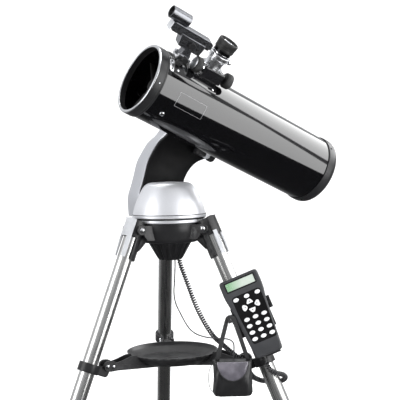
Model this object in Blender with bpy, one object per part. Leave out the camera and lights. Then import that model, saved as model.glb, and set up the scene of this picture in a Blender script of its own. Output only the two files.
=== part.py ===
"""Short Newtonian reflector on a single-arm alt-azimuth mount and a tubular tripod.

Frame: metres, +Z up, origin on the floor below the azimuth axis.
The tube points to -X, slightly to -Y and up.
"""
import math

import bmesh
import bpy
from mathutils import Matrix, Vector

MM = 0.001
GAP = 0.3

# Heights above the floor (mm)
Z_AXIS = 797.0
Z_HUB_TOP = 610.0
Z_HUB_BOTTOM = 570.0
Z_PIVOT = 603.0
Z_TRAY_RIM = 349.0

# Optical tube
TUBE_R = 68.5
TUBE_WALL = 1.2
TUBE_HALF = 214.0
TUBE_ALT = 24.0
TUBE_OUT = 84.0
AXIS_S = 100.6
HEAD_YAW = 31.7
FOCUSER_X = -118.0
FOCUSER_TURN = 36.0
FINDER_X = -182.0

# Tripod
LEG_AZIMUTH = {"left": 217.0, "right": 337.0, "rear": 97.0}
LEG_SLOPE = 23.3
LEG_R = 15.0
LEG_PIVOT_R = 84.0
UPPER_TOP, UPPER_END = 2.6, 590.0
FOOT_END = 660.0

# Handset
HAND_HALF = 13.5
HAND_CENTRE = (160.6, -105.0, 434.4)
KEY_PITCH_X, KEY_PITCH_Y = 17.6, 13.1

for old in list(bpy.data.objects):
    bpy.data.objects.remove(old, do_unlink=True)

MATERIALS = {
    "gloss_black": ((0.012, 0.012, 0.014), 0.12, 0.0),
    "satin_black": ((0.02, 0.02, 0.022), 0.38, 0.0),
    "rubber_black": ((0.018, 0.018, 0.018), 0.8, 0.0),
    "silver_paint": ((0.62, 0.63, 0.66), 0.3, 0.5),
    "steel": ((0.6, 0.6, 0.6), 0.16, 1.0),
    "grey_metal": ((0.3, 0.31, 0.33), 0.3, 0.8),
    "mirror": ((0.9, 0.92, 0.94), 0.02, 1.0),
    "screen": ((0.45, 0.5, 0.42), 0.25, 0.0),
    "key_grey": ((0.75, 0.76, 0.76), 0.5, 0.0),
    "fabric": ((0.02, 0.02, 0.022), 0.75, 0.0),
    "glass": ((0.2, 0.05, 0.07), 0.05, 0.0),
}


def material_for(node, kind):
    """Give the node a material of its own, of the named kind."""
    colour, rough, metal = MATERIALS[kind]
    mat = bpy.data.materials.new(node)
    mat.use_nodes = True
    shader = mat.node_tree.nodes["Principled BSDF"]
    shader.inputs["Base Color"].default_value = (*colour, 1.0)
    shader.inputs["Roughness"].default_value = rough
    shader.inputs["Metallic"].default_value = metal
    return mat


def empty(name, parent=None, at=(0, 0, 0), turn=(0, 0, 0)):
    """An axis frame. at is in mm and turn in degrees."""
    obj = bpy.data.objects.new(name, None)
    bpy.context.collection.objects.link(obj)
    obj.parent = parent
    obj.location = [v * MM for v in at]
    obj.rotation_euler = [math.radians(v) for v in turn]
    return obj


def to_object(bm, name, kind, parent=None, at=(0, 0, 0), turn=(0, 0, 0), smooth=35):
    """Finish a bmesh that is in mm as a named object in metres."""
    bmesh.ops.remove_doubles(bm, verts=bm.verts, dist=1e-4)
    bmesh.ops.recalc_face_normals(bm, faces=bm.faces)
    bmesh.ops.scale(bm, vec=(MM, MM, MM), verts=bm.verts)
    mesh = bpy.data.meshes.new(name)
    bm.to_mesh(mesh)
    bm.free()
    obj = bpy.data.objects.new(name, mesh)
    bpy.context.collection.objects.link(obj)
    obj.parent = parent
    obj.location = [v * MM for v in at]
    obj.rotation_euler = [math.radians(v) for v in turn]
    mesh.shade_smooth()
    mesh.set_sharp_from_angle(angle=math.radians(smooth))
    mesh.materials.append(material_for(name, kind))
    return obj


def turned_mesh(profile, steps, closed=False):
    """Spin (radius, height) points about Z. An open profile starts and ends on the axis."""
    bm = bmesh.new()
    if not closed and profile[0][0] > 0:
        first = next(i for i, point in enumerate(profile) if point[0] == 0) + 1
        profile = profile[first:] + profile[:first]
    verts = [bm.verts.new((r, 0, z)) for r, z in profile]
    pairs = list(zip(verts, verts[1:]))
    if closed:
        pairs.append((verts[-1], verts[0]))
    edges = [bm.edges.new(pair) for pair in pairs]
    bmesh.ops.spin(
        bm, geom=verts + edges, cent=(0, 0, 0), axis=(0, 0, 1),
        angle=math.tau, steps=steps, use_merge=True,
    )
    bmesh.ops.remove_doubles(bm, verts=bm.verts, dist=1e-4)
    return bm


def turned(name, kind, profile, steps=24, closed=False, **place):
    """A turned piece as an object."""
    return to_object(turned_mesh(profile, steps, closed), name, kind, **place)


def box_mesh(low, high, bevel=0.0, segments=1):
    """A box between two corners, with its edges rounded by bevel."""
    bm = bmesh.new()
    bmesh.ops.create_cube(bm, size=1.0)
    size = [h - l for l, h in zip(low, high)]
    centre = [(h + l) / 2 for l, h in zip(low, high)]
    bmesh.ops.scale(bm, vec=size, verts=bm.verts)
    bmesh.ops.translate(bm, vec=centre, verts=bm.verts)
    if bevel:
        bmesh.ops.bevel(bm, geom=bm.edges, offset=bevel, segments=segments, affect="EDGES")
    return bm


def box(name, kind, low, high, bevel=0.0, **place):
    """A box as an object."""
    return to_object(box_mesh(low, high, bevel), name, kind, **place)


def loft_mesh(rings):
    """Join rings of equal point count into a closed solid with flat ends."""
    bm = bmesh.new()
    rows = [[bm.verts.new(p) for p in ring] for ring in rings]
    for low, high in zip(rows, rows[1:]):
        for i in range(len(low)):
            k = (i + 1) % len(low)
            bm.faces.new((low[i], low[k], high[k], high[i]))
    bm.faces.new(rows[0])
    bm.faces.new(rows[-1])
    return bm


def plate_mesh(outline, low, high, plane="XY"):
    """Extrude a flat outline between two heights. plane names the outline's two axes."""
    def spot(a, b, c):
        return {"XY": (a, b, c), "XZ": (a, c, b), "YZ": (c, a, b)}[plane]
    return loft_mesh([[spot(a, b, low) for a, b in outline], [spot(a, b, high) for a, b in outline]])


def disc_mesh(radius, low, high, steps=24):
    """A plain cylinder about Z."""
    return turned_mesh([(0, low), (radius, low), (radius, high), (0, high)], steps)


def moved(bm, turn=(0, 0, 0), at=(0, 0, 0)):
    """Turn (degrees, XYZ order) and then shift a bmesh."""
    spin = Matrix.Rotation(math.radians(turn[2]), 4, "Z")
    spin = spin @ Matrix.Rotation(math.radians(turn[1]), 4, "Y")
    spin = spin @ Matrix.Rotation(math.radians(turn[0]), 4, "X")
    bmesh.ops.transform(bm, matrix=Matrix.Translation(at) @ spin, verts=bm.verts)
    return bm


def tool(bm, owner, name):
    """A hidden helper solid, in its owner's frame or in the world's."""
    obj = to_object(bm, name, "grey_metal", parent=owner.parent if owner else None)
    if owner:
        obj.location = owner.location
        obj.rotation_euler = owner.rotation_euler
    obj.hide_render = True
    obj.display_type = "WIRE"
    return obj


def combine(obj, operation, *meshes, world=False):
    """Union or cut helper solids with an object, by Boolean modifiers."""
    for bm in meshes:
        name = "{}_{}_{}".format(obj.name, operation.lower(), len(obj.modifiers))
        mod = obj.modifiers.new(name, "BOOLEAN")
        mod.operation = operation
        mod.object = tool(bm, None if world else obj, name)
    return obj


def join(obj, *meshes):
    return combine(obj, "UNION", *meshes)


def cut(obj, *meshes, world=False):
    return combine(obj, "DIFFERENCE", *meshes, world=world)


def smooth_route(points, spacing):
    """Read a centripetal Catmull-Rom curve through the points, spacing mm apart."""
    pts = [Vector(p) for p in points]
    pts = [2 * pts[0] - pts[1]] + pts + [2 * pts[-1] - pts[-2]]
    dense = []
    for a, b, c, d in zip(pts, pts[1:], pts[2:], pts[3:]):
        t0 = 0.0
        t1 = t0 + (b - a).length ** 0.5
        t2 = t1 + (c - b).length ** 0.5
        t3 = t2 + (d - c).length ** 0.5
        for i in range(24):
            t = t1 + (t2 - t1) * i / 24
            ab = a.lerp(b, (t - t0) / (t1 - t0))
            bc = b.lerp(c, (t - t1) / (t2 - t1))
            cd = c.lerp(d, (t - t2) / (t3 - t2))
            abc = ab.lerp(bc, (t - t0) / (t2 - t0))
            bcd = bc.lerp(cd, (t - t1) / (t3 - t1))
            dense.append(abc.lerp(bcd, (t - t1) / (t2 - t1)))
    dense.append(pts[-2])
    length = sum((b - a).length for a, b in zip(dense, dense[1:]))
    count = max(2, round(length / spacing))
    out, run, want = [dense[0]], 0.0, length / count
    for a, b in zip(dense, dense[1:]):
        step = (b - a).length
        while run + step >= want * len(out) and len(out) < count:
            out.append(a.lerp(b, (want * len(out) - run) / step))
        run += step
    return out + [dense[-1]]


def tube_along(name, kind, points, radius, spacing, resolution):
    """A plain cord solid through the route points, both in mm."""
    route = smooth_route(points, spacing)
    data = bpy.data.curves.new(name, "CURVE")
    data.dimensions = "3D"
    line = data.splines.new("POLY")
    line.points.add(len(route) - 1)
    for spot, point in zip(line.points, route):
        spot.co = (*(point * MM), 1.0)
    data.bevel_depth = radius * MM
    data.bevel_resolution = resolution
    data.use_fill_caps = True
    data.materials.append(material_for(name, kind))
    obj = bpy.data.objects.new(name, data)
    bpy.context.collection.objects.link(obj)
    return obj


# ---------------------------------------------------------------- tripod head
head = turned(
    "tripod_head", "satin_black",
    [(0, Z_HUB_BOTTOM), (54, Z_HUB_BOTTOM), (60, 574), (66, 596), (66, Z_HUB_TOP), (0, Z_HUB_TOP)], 36,
)
EAR = [(50, 577), (72, 577), (80, 588), (80, 607), (50, 607)]
for side, azimuth in LEG_AZIMUTH.items():
    join(head, moved(plate_mesh(EAR, 20.8, 27.0, "XZ"), (0, 0, azimuth)))
    join(head, moved(plate_mesh(EAR, -27.0, -20.8, "XZ"), (0, 0, azimuth)))
HUB_CLEAR = [
    (0, 560), (54.4, 569.6), (60.4, 573.9), (66.4, 596), (66.4, 609.6), (75.5, 609.6), (75.5, 640), (0, 640),
]
# Socket block below the hub, behind the knob, where both cords plug in
join(head, box_mesh((-4, 45.7, 556), (27, 56.5, 582), 1.0))

turned("base_ring", "silver_paint", [
    (0, 610.3), (70, 610.3), (70, 616.4), (69.4, 617), (0, 617),
], 36)
turned("azimuth_wheel", "satin_black", [
    (0, 617.3), (72.4, 617.3), (72.4, 619.7), (14, 619.7), (14, 638), (42, 638), (42, 648), (0, 648),
], 28)


def ribbed_ring(radius, depth, height, ribs):
    """A ring of points that steps in and out for grip ribs."""
    ring = []
    for i in range(ribs * 4):
        angle = math.tau * i / (ribs * 4)
        r = radius if i % 4 < 2 else radius - depth
        ring.append((r * math.cos(angle), r * math.sin(angle), height))
    return ring


knob_axes = empty("mount_knob_axis", at=(0, 0, Z_HUB_BOTTOM))
to_object(loft_mesh([
    ribbed_ring(22.5, 1.0, -36, 14), ribbed_ring(26.5, 1.6, -34, 14),
    ribbed_ring(42.0, 2.2, -4, 14), ribbed_ring(43.6, 1.2, -GAP, 14),
]), "mount_knob", "satin_black", parent=knob_axes, smooth=25)


# ---------------------------------------------------------------------- legs
LEG_FRAMES = {}
for side, azimuth in LEG_AZIMUTH.items():
    r0 = LEG_PIVOT_R
    turn = math.radians(azimuth)
    frame = empty(
        "leg_" + side, at=(r0 * math.cos(turn), r0 * math.sin(turn), Z_PIVOT),
        turn=(0, 180 - LEG_SLOPE, azimuth),
    )
    LEG_FRAMES[side] = frame
    # Bracket: a cap over the leg's top, a half sleeve on its inner side and a tongue to the hub
    outer = [(20 * math.cos(a), 20 * math.sin(a)) for a in [math.tau * (i + 0.5) / 20 for i in range(20)]]
    bracket = to_object(plate_mesh(outer, -14, 20), "bracket_" + side, "satin_black", parent=frame)
    inner = [(20 * math.cos(a), 20 * math.sin(a)) for a in [math.pi * (i - 5) / 10 for i in range(11)]]
    join(bracket, plate_mesh(inner, 18, 64), moved(plate_mesh(
        [(10, -14), (30, -7), (30, 16), (19.5, 40), (10, 52)], -12.7, 12.7, "XZ"), at=(0, 0, 0)))
    cut(bracket, disc_mesh(LEG_R + GAP, UPPER_TOP - GAP, 90))
    cut(bracket, turned_mesh(HUB_CLEAR, 36), world=True)
    turned("upper_leg_" + side, "steel", [
        (13.4, UPPER_TOP), (LEG_R, UPPER_TOP), (LEG_R, UPPER_END), (13.4, UPPER_END),
    ], 24, closed=True, parent=frame)
    # Lock collar with its screw boss on the outer side
    collar = turned("lock_collar_" + side, "satin_black", [
        (LEG_R + GAP, 556), (20, 556), (20, 594), (18, 598), (13.2, 598), (13.2, UPPER_END + GAP),
        (LEG_R + GAP, UPPER_END + GAP),
    ], 20, closed=True, parent=frame)
    boss = moved(disc_mesh(6.5, 17.5, 27, 12), (0, -90, 0), (0, 0, 576))
    join(collar, boss)
    screw_axis = empty("lock_axis_" + side, parent=frame, at=(-27, 0, 576), turn=(0, -90, 0))
    to_object(loft_mesh([
        ribbed_ring(7.0, 0.8, GAP, 6), ribbed_ring(10.0, 1.6, 4, 6),
        ribbed_ring(10.0, 1.6, 14, 6), ribbed_ring(8.0, 1.2, 16, 6),
    ]), "lock_knob_" + side, "satin_black", parent=screw_axis, smooth=25)
    turned("lower_leg_" + side, "steel", [
        (11.7, 200), (12.9, 200), (12.9, 632), (11.7, 632),
    ], 20, closed=True, parent=frame)
    # Rubber foot: a sleeve round the leg's end, cut level with the floor
    foot = turned("foot_" + side, "rubber_black", [
        (13.2, 612), (15.5, 612), (17.5, 632), (17.5, 680), (0, 680), (0, 632.3), (13.2, 632.3),
    ], 20, parent=frame)
    ground = Z_PIVOT / math.cos(math.radians(LEG_SLOPE))
    slab = moved(box_mesh((-60, -60, 0), (60, 60, 60)), (0, LEG_SLOPE, 0), (0, 0, ground))
    cut(foot, slab)
    # Tray clamp
    clamp = turned("tray_clamp_" + side, "satin_black", [
        (LEG_R + GAP, 276), (20.5, 276), (20.5, 294), (LEG_R + GAP, 294),
    ], 24, closed=True, parent=frame)
    join(clamp, plate_mesh([(17.5, 277), (40, 277 - 6), (44, 281 - 6), (44, 288), (40, 293), (17.5, 293)],
                           -6.0, 6.0, "XZ"))

# ---------------------------------------------------------------------- tray
tray = turned("tray", "satin_black", [
    (0, 327.5), (70, 328.4), (88, 340), (93, Z_TRAY_RIM),
    (90.6, Z_TRAY_RIM), (86, 342.5), (68, 331), (0, 331),
], 36)
for azimuth in LEG_AZIMUTH.values():
    arm = moved(plate_mesh(
        [(40, 322), (148, 330), (148, 344), (88, 332), (40, 328.5)], -13.0, 13.0, "XZ"), (0, 0, azimuth))
    cheek = [(140, 329), (158, 329), (168, 335), (168, 345), (160, 351), (146, 349), (140, 343)]
    join(tray, arm)
    join(tray, moved(plate_mesh(cheek, 6.3, 12.0, "XZ"), (0, 0, azimuth)))
    join(tray, moved(plate_mesh(cheek, -12.0, -6.3, "XZ"), (0, 0, azimuth)))

# ---------------------------------------------------------------- mount head
mount = empty("azimuth_axis", turn=(0, 0, HEAD_YAW))
DOME = [(74.5, 620.0), (74, 628), (69.5, 645), (60.8, 666), (50, 685), (42, 690), (0, 692)]
INNER = [(0, 687), (40, 686), (57, 662), (70.5, 620)]
turned("dome", "silver_paint", DOME[::-1] + INNER[::-1], 36, parent=mount)

ARM_LEFT = [(-56, 622), (-57, 660), (-48, 688), (-42, 707), (-34, 733), (-22.4, 753), (-6.6, 774.4),
            (13.8, 791), (35, 815), (66, 835), (100, 843)]
ARM_RIGHT = [(134, 830), (149, 803), (141, 768), (118, 743), (88.4, 731.6), (74.4, 723.4), (62.9, 712),
             (54.7, 700), (50, 688), (48, 660), (20, 622)]
ARM = ARM_LEFT + ARM_RIGHT
CLEAR_DOME = [(r + 0.35, z + 0.35) for r, z in DOME]
CLEAR_DOME[-1] = (0, 692.35)
DOME_CUTTER = [(0, 560), (90, 560), (90, 619), (CLEAR_DOME[0][0], 619)] + CLEAR_DOME


def arm_half(name, kind, near, far, bevel):
    """One half of the arm: its outline made thick, standing over the dome."""
    obj = to_object(plate_mesh(ARM, near, far, "XZ"), name, kind, parent=mount, smooth=40)
    if bevel:
        mod = obj.modifiers.new("round", "BEVEL")
        mod.width = bevel * MM
        mod.segments = 2
        mod.limit_method = "ANGLE"
        mod.angle_limit = math.radians(60)
    cut(obj, turned_mesh(DOME_CUTTER, 36))
    return obj


cover = arm_half("arm_cover", "satin_black", 20.0, 26.0, 0)
shell = arm_half("arm_shell", "silver_paint", 26.3, 80.0, 9.0)
axle_hole = moved(disc_mesh(12.3, -8, 45, 24), (-90, 0, 0), (AXIS_S, 19, Z_AXIS))
cut(cover, axle_hole)
axle_hole = moved(disc_mesh(12.3, -8, 45, 24), (-90, 0, 0), (AXIS_S, 19, Z_AXIS))
cut(shell, axle_hole)

# ------------------------------------------------------------ altitude group
altitude = empty("altitude_axis", parent=mount, at=(AXIS_S, 0, Z_AXIS), turn=(0, TUBE_ALT, 0))
CHANNEL = [(10, -36), (-12, -36), (-13, -20), (-2.3, -22.6), (-2.3, 22.6), (-13, 20), (-12, 36), (10, 36)]
saddle = to_object(loft_mesh([
    [(-55, y, z) for y, z in CHANNEL], [(55, y, z) for y, z in CHANNEL],
]), "saddle", "satin_black", parent=altitude)
join(saddle, moved(disc_mesh(32, 8, 19.7, 28), (-90, 0, 0)), moved(disc_mesh(12, 18, 62, 24), (-90, 0, 0)))
join(saddle, box_mesh((-14, -9, -58), (8, 8, -34)))
saddle_knob_axis = empty("saddle_knob_axis", parent=altitude, at=(8, 0, -49), turn=(0, 90, 0))
turned("saddle_knob", "satin_black", [
    (0, GAP), (6, GAP), (6, 6), (8.5, 7), (9, 9), (9, 20), (7.5, 22.5), (0, 22.5),
], 16, parent=saddle_knob_axis)

tube_axis = empty("tube_axis", parent=altitude, at=(0, -TUBE_OUT, 0))
bar = [(-2.7, -21), (-2.7, 21), (-15.1, 18.4), (-15.1, -18.4)]
to_object(loft_mesh([
    [(-100, y, z) for y, z in bar], [(100, y, z) for y, z in bar],
]), "dovetail", "satin_black", parent=altitude)


def along_tube(name, kind, profile, steps, closed=False):
    """A turned piece about the tube's axis. Heights run to the rear."""
    return to_object(moved(turned_mesh(profile, steps, closed), (0, 90, 0)), name, kind, parent=tube_axis)


TUBE_IN = TUBE_R - TUBE_WALL
tube = along_tube("tube", "gloss_black", [
    (TUBE_IN, -TUBE_HALF), (TUBE_R, -TUBE_HALF), (TUBE_R, TUBE_HALF), (TUBE_IN, TUBE_HALF),
], 48, True)
along_tube("front_ring", "satin_black", [
    (TUBE_R + GAP, -206), (70.4, -206), (70.4, -226), (69.4, -227), (64.5, -227), (64.5, -214.3),
    (TUBE_R + GAP, -214.3),
], 48, True)
cell = along_tube("rear_cell", "satin_black", [
    (TUBE_R + GAP, 204), (70.6, 204), (70.6, 221), (68, 227), (63, 229), (0, 229), (0, 223), (62, 223),
    (62, 214.3), (TUBE_R + GAP, 214.3),
], 48)
for i in range(3):
    a = math.tau * i / 3 + 0.4
    join(cell, moved(disc_mesh(6, 207.3, 225, 12), (0, 90, 0), (0, 44 * math.sin(a), 44 * math.cos(a))))
along_tube("primary_mirror", "mirror", [
    (0, 207), (57, 207), (57, 198), (40, 196.6), (20, 195.7), (0, 195.4)], 36)

# The light path turns towards the focuser, which is turned about the tube
light_side = empty("focuser_side", parent=tube_axis, at=(FOCUSER_X, 0, 0), turn=(FOCUSER_TURN, 0, 0))
spider = to_object(moved(turned_mesh([
    (0, -82), (11, -82), (12, -80), (12, -66), (6, -62), (6, -36), (13, -33), (14, -21), (0, -21),
], 20), (0, 90, 0)), "spider", "satin_black", parent=light_side)
VANE = TUBE_IN - 0.3
join(spider, moved(box_mesh((-79, -0.6, -VANE), (-68, 0.6, VANE)), (14.5, 0, 0)),
     moved(box_mesh((-79, -VANE, -0.6), (-68, VANE, 0.6)), (14.5, 0, 0)))
slant = []
for x_low, x_high in ((-20.7, -20.7), (-15.0, 13.0)):
    ring = []
    for i in range(20):
        a = math.tau * i / 20
        y, z = 13.4 * math.cos(a), 13.4 * math.sin(a)
        # A 45 degree face that looks at both the rear mirror and the focuser
        mid, swing = (x_low + x_high) / 2, (x_high - x_low) / 2
        ring.append((mid - swing * z / 13.4, y, z))
    slant.append(ring)
to_object(loft_mesh(slant), "secondary_mirror", "mirror", parent=light_side)


def curved_plate(inner, outer, x_low, x_high, half_angle, steps):
    """A curved plate round the tube's axis, centred on the +Z side."""
    rings = []
    for i in range(steps + 1):
        a = math.radians(half_angle * (2 * i / steps - 1))
        sy, sz = math.sin(a), math.cos(a)
        rings.append([(x, r * sy, r * sz) for x, r in (
            (x_low, inner), (x_high, inner), (x_high, outer), (x_low, outer))])
    return loft_mesh(rings)


# Focuser: saddle base on the tube, housing round the drawtube, pinion bosses
around_tube = moved(disc_mesh(TUBE_R + GAP, -70, 70, 48), (0, 90, 0))
focuser = to_object(curved_plate(TUBE_R + GAP, TUBE_R + 3.2, -78, 20, 43, 10), "focuser_body", "satin_black",
                    parent=light_side)
join(focuser, box_mesh((-24, -26, 58), (18, 26, 80), 1.5), disc_mesh(25, 68, 90, 28))
join(focuser, box_mesh((-24, -31, 70), (22, -14, 93), 1.5))
cut(focuser, around_tube)
cut(focuser, disc_mesh(17.4, 40, 120, 28))
cut(focuser, moved(disc_mesh(2.4, -60, 60, 12), (0, 90, 0), (0, -22.5, 85)))
cut(tube, moved(moved(disc_mesh(20, 40, 90, 28), (FOCUSER_TURN, 0, 0)), at=(FOCUSER_X, 0, 0)))

turned("drawtube", "grey_metal", [
    (15.9, 63), (17, 63), (17, 106), (19.5, 107), (19.5, 118), (15.9, 118),
], 28, closed=True, parent=light_side)
pinion_axis = empty("pinion_axis", parent=light_side, at=(0, -22.5, 85), turn=(0, 90, 0))
turned("focus_knobs", "satin_black", [
    (0, -45), (13, -45), (15, -43), (15, -32), (13, -30.6), (2.2, -30.6), (2.2, 26.6), (13, 26.6), (15, 28),
    (15, 39), (13, 41), (0, 41),
], 24, parent=pinion_axis)
screw = empty("eyepiece_screw_axis", parent=light_side, at=(0, 0, 112.5), turn=(0, 90, 0))
turned("eyepiece_screw", "grey_metal", [
    (0, 19.9), (2.5, 19.9), (2.5, 22), (5, 22.6), (5, 28.5), (4.2, 29.4), (0, 29.4),
], 14, parent=screw)
turned("eyepiece", "satin_black", [
    (13.8, 90), (15.6, 90), (15.6, 118.3), (18.0, 118.3), (18.0, 133), (16, 135), (16, 141), (0, 141),
    (0, 136), (13.8, 122),
], 28, parent=light_side)
turned("eyecup", "rubber_black", [
    (18.3, 129), (19.6, 129), (20.4, 147), (17.4, 149), (16.3, 141.5), (18.3, 134),
], 28, closed=True, parent=light_side)

# Finder: shoe on the focuser's flange, clamp with foot, long body, sight tube with a lens
finder_side = empty("finder_side", parent=tube_axis, at=(FINDER_X, 0, 0), turn=(FOCUSER_TURN, 0, 0))
shoe = box("finder_shoe", "satin_black", (-13, -15, 72.2), (15, 15, 76), parent=finder_side)
join(shoe, box_mesh((-13, -15, 75), (15, -10, 83)), box_mesh((-13, 10, 75), (15, 15, 83)))
finder = to_object(plate_mesh([(-9, 76.4), (13, 76.4), (12, 86), (8, 97), (-6, 97), (-8, 86)],
                              -9.6, 9.6, "XZ"), "finder_body", "grey_metal", parent=finder_side)
join(finder, plate_mesh([(-24, 96), (24, 96), (26, 119), (-30, 119)], -12, 12, "XZ"))
DECK = [(-55, 117), (-55, 129), (-52, 131.5), (30, 131.5), (37, 128), (37, 117)]
join(finder, plate_mesh(DECK, -11, 11, "XZ"))
join(finder, moved(turned_mesh([
    (10.4, -68), (12, -68), (12, -27), (10.4, -27)], 24, True), (0, 90, 0), (0, 0, 142)))
to_object(moved(disc_mesh(10.1, -42, -40, 20), (0, 90, 0), (0, 0, 142)), "finder_lens", "glass",
          parent=finder_side)
dial_axis = empty("finder_dial_axis", parent=finder_side, at=(0, -12.3, 108), turn=(90, 0, 0))
to_object(loft_mesh([
    ribbed_ring(7.0, 0.8, 0, 6), ribbed_ring(7.0, 0.8, 5, 6),
]), "finder_dial", "satin_black", parent=dial_axis, smooth=25)

# ------------------------------------------------------------------- handset
down = Vector((math.sin(math.radians(LEG_SLOPE)) * math.cos(math.radians(LEG_AZIMUTH["right"])),
               math.sin(math.radians(LEG_SLOPE)) * math.sin(math.radians(LEG_AZIMUTH["right"])),
               -math.cos(math.radians(LEG_SLOPE))))
up = -down
front = (Vector((0, -1, 0)) - up * up.dot(Vector((0, -1, 0)))).normalized()
side_axis = up.cross(front)
hand = empty("handset_frame", at=HAND_CENTRE)
hand.rotation_euler = Matrix((side_axis, up, front)).transposed().to_euler()

CASE = [(-24, -80), (24, -80), (27.5, -76), (31, -30), (35.5, 22), (39.5, 46), (39.5, 76), (36, 80),
        (-36, 80), (-39.5, 76), (-39.5, 46), (-35.5, 22), (-31, -30), (-27.5, -76)]


def shrunk(outline, by):
    """The outline with its points drawn in towards the middle by a set amount on each axis."""
    return [(x - by * math.copysign(1, x), y - by * math.copysign(1, y)) for x, y in outline]


def layer(outline, z):
    return [(x, y, z) for x, y in outline]


case = to_object(loft_mesh([
    layer(shrunk(CASE, 4), -HAND_HALF), layer(CASE, -HAND_HALF + 5), layer(CASE, HAND_HALF - 3),
    layer(shrunk(CASE, 2.5), HAND_HALF),
]), "handset_case", "satin_black", parent=hand)
cut(case, box_mesh((-31.3, 54.7, HAND_HALF - 2), (31.3, 75.3, HAND_HALF + 4)))
PAD = [(-21.5, -52.5), (27.2, -52.5), (31, 12), (31, 44.5), (-27, 44.5), (-27, 12)]
recess = shrunk(PAD, -0.4)
cut(case, loft_mesh([layer(recess, HAND_HALF - 2), layer(recess, HAND_HALF + 4)]))
box("handset_screen", "screen", (-31, 55, HAND_HALF - 1.7), (31, 75, HAND_HALF + 0.4), 0.0, parent=hand)


def oval(rx, ry, z, centre=(0, 0), steps=12):
    """An oval ring at a height."""
    turns = [math.tau * i / steps for i in range(steps)]
    return [(centre[0] + rx * math.cos(a), centre[1] + ry * math.sin(a), z) for a in turns]


def key_mesh(centre, rx, ry, low, high, steps=12):
    return loft_mesh([oval(rx, ry, low, centre, steps), oval(rx - 0.5, ry - 0.5, high, centre, steps)])


# One rubber sheet carries the oval keys. The four direction keys pass through it
pad_mesh = loft_mesh([layer(PAD, HAND_HALF - 1.7), layer(PAD, HAND_HALF)])
pad = to_object(pad_mesh, "keypad", "rubber_black", parent=hand)
OVALS = [(2.6 + KEY_PITCH_X * (k % 3 - 1), -4.2 - KEY_PITCH_Y * (k // 3)) for k in range(12)]
OVALS += [(-20, 37.8), (2, 37.8), (24, 37.8)]
for spot in OVALS:
    join(pad, key_mesh(spot, 5.6, 3.7, HAND_HALF - 1, HAND_HALF + 1.8, 8))
for name, turn in {"key_up": 90, "key_left": 180, "key_down": 270, "key_right": 0}.items():
    a = math.radians(turn)
    far = 12.0 if turn % 180 == 0 else 8.6
    spot = (2.8 + far * math.cos(a), 18.0 + far * math.sin(a))
    rx, ry = (4.6, 4.2) if turn % 180 == 0 else (5.2, 3.6)
    for piece in (case, pad):
        hole = [oval(rx + 0.4, ry + 0.4, HAND_HALF - 3, spot), oval(rx + 0.4, ry + 0.4, HAND_HALF + 3, spot)]
        cut(piece, loft_mesh(hole))
    key = empty(name + "_axis", parent=hand, at=(spot[0], spot[1], HAND_HALF))
    to_object(key_mesh((0, 0), rx, ry, -1.4, 1.9), name, "key_grey", parent=key)

# Holder: a ring round the right leg, a stem, a back plate and two side clips
right = LEG_FRAMES["right"]
leg_top = Vector(right.location) / MM
offset = leg_top - Vector(HAND_CENTRE)
lx, lz = offset.dot(side_axis), offset.dot(front)
holder = to_object(moved(turned_mesh([
    (LEG_R + GAP, -30), (19.5, -30), (19.5, 12), (LEG_R + GAP, 12),
], 24, True), (90, 0, 0), (lx, 0, lz)), "handset_holder", "satin_black", parent=hand)
BACK = -HAND_HALF - GAP
join(holder, box_mesh((lx - 9, -26, lz + 17.5), (lx + 9, 8, BACK - 2)))
join(holder, box_mesh((-38.5, -34, BACK - 4), (34, 26, BACK)))
join(holder, box_mesh((-43.5, -2, BACK - 4), (-37.8, 16, BACK + 10)))
join(holder, box_mesh((-49, 2, BACK - 1), (-42, 7, BACK + 34)))
join(holder, box_mesh((-49, 2, BACK + 32), (-43.2, 11, BACK + 35)))
join(holder, box_mesh((33.0, 0, BACK - 4), (41.5, 24, BACK + 12)))
join(holder, box_mesh((-22, -84.5, BACK - 4), (22, -30, BACK)))
join(holder, box_mesh((-22, -86, BACK - 4), (-6, -80.6, BACK + 8)))
cut(holder, loft_mesh([layer([(x * 1.012, y * 1.005) for x, y in CASE], BACK + 0.0),
                       layer([(x * 1.012, y * 1.005) for x, y in CASE], HAND_HALF + 5)]))

# ------------------------------------------------------------------- pouch
box("pouch", "fabric", (79.5, -139, 283.4), (155.8, -97, 349.4), 6.0)
STRAP = [(85, 349.7), (91.5, 349.7), (111.8, 428.2), (119.8, 428.2), (145, 349.7), (151.5, 349.7),
         (123.6, 431.4), (120.6, 434), (111.1, 434), (107.8, 431.4)]
to_object(plate_mesh(STRAP, -119.0, -117.0, "XZ"), "pouch_strap", "fabric")

# ------------------------------------------------------------------- cords
CURLY = [(18, 51, 555.7), (18, 51, 545), (18.5, 45, 522), (34, 32, 478), (49, 16, 438), (66, -4, 405),
         (84, -26, 380), (100, -46, 368), (114, -64, 358), (128, -80, 349), (140, -88, 341), (156, -86, 313),
         (169, -67, 300), (185, -50, 292), (203, -49, 290), (218, -62, 296), (222, -80, 306), (215, -99, 316),
         (201, -112, 322), (189, -119, 331)]
WIRE = [(6, 51, 555.7), (6, 51, 545), (8, 48, 522), (6, 44, 482), (4.5, 40, 461), (8, 32, 439), (19, 18, 417),
        (33, 0, 395), (48, -22, 385), (68, -46, 382), (90, -68, 383), (111, -84, 384), (121, -94, 379),
        (122, -102, 368), (121, -104, 357), (121, -104, 350)]
hand_end = Vector(HAND_CENTRE) + side_axis * -13 - up * 80.8
CURLY += [tuple(hand_end - up * 9), tuple(hand_end - up * 4), tuple(hand_end)]
tube_along("curly_cord", "rubber_black", CURLY, 4.8, 13.0, 2)
tube_along("power_cord", "rubber_black", WIRE, 1.6, 9.0, 2)
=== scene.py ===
"""Looks of a short Newtonian reflector telescope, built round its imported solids. Metres, +Z up."""
from math import atan2, copysign, cos, degrees, pi, radians, sin, sqrt, tanh, tau

import bmesh
import bpy
import numpy as np
from mathutils import Euler, Matrix, Vector


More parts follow.
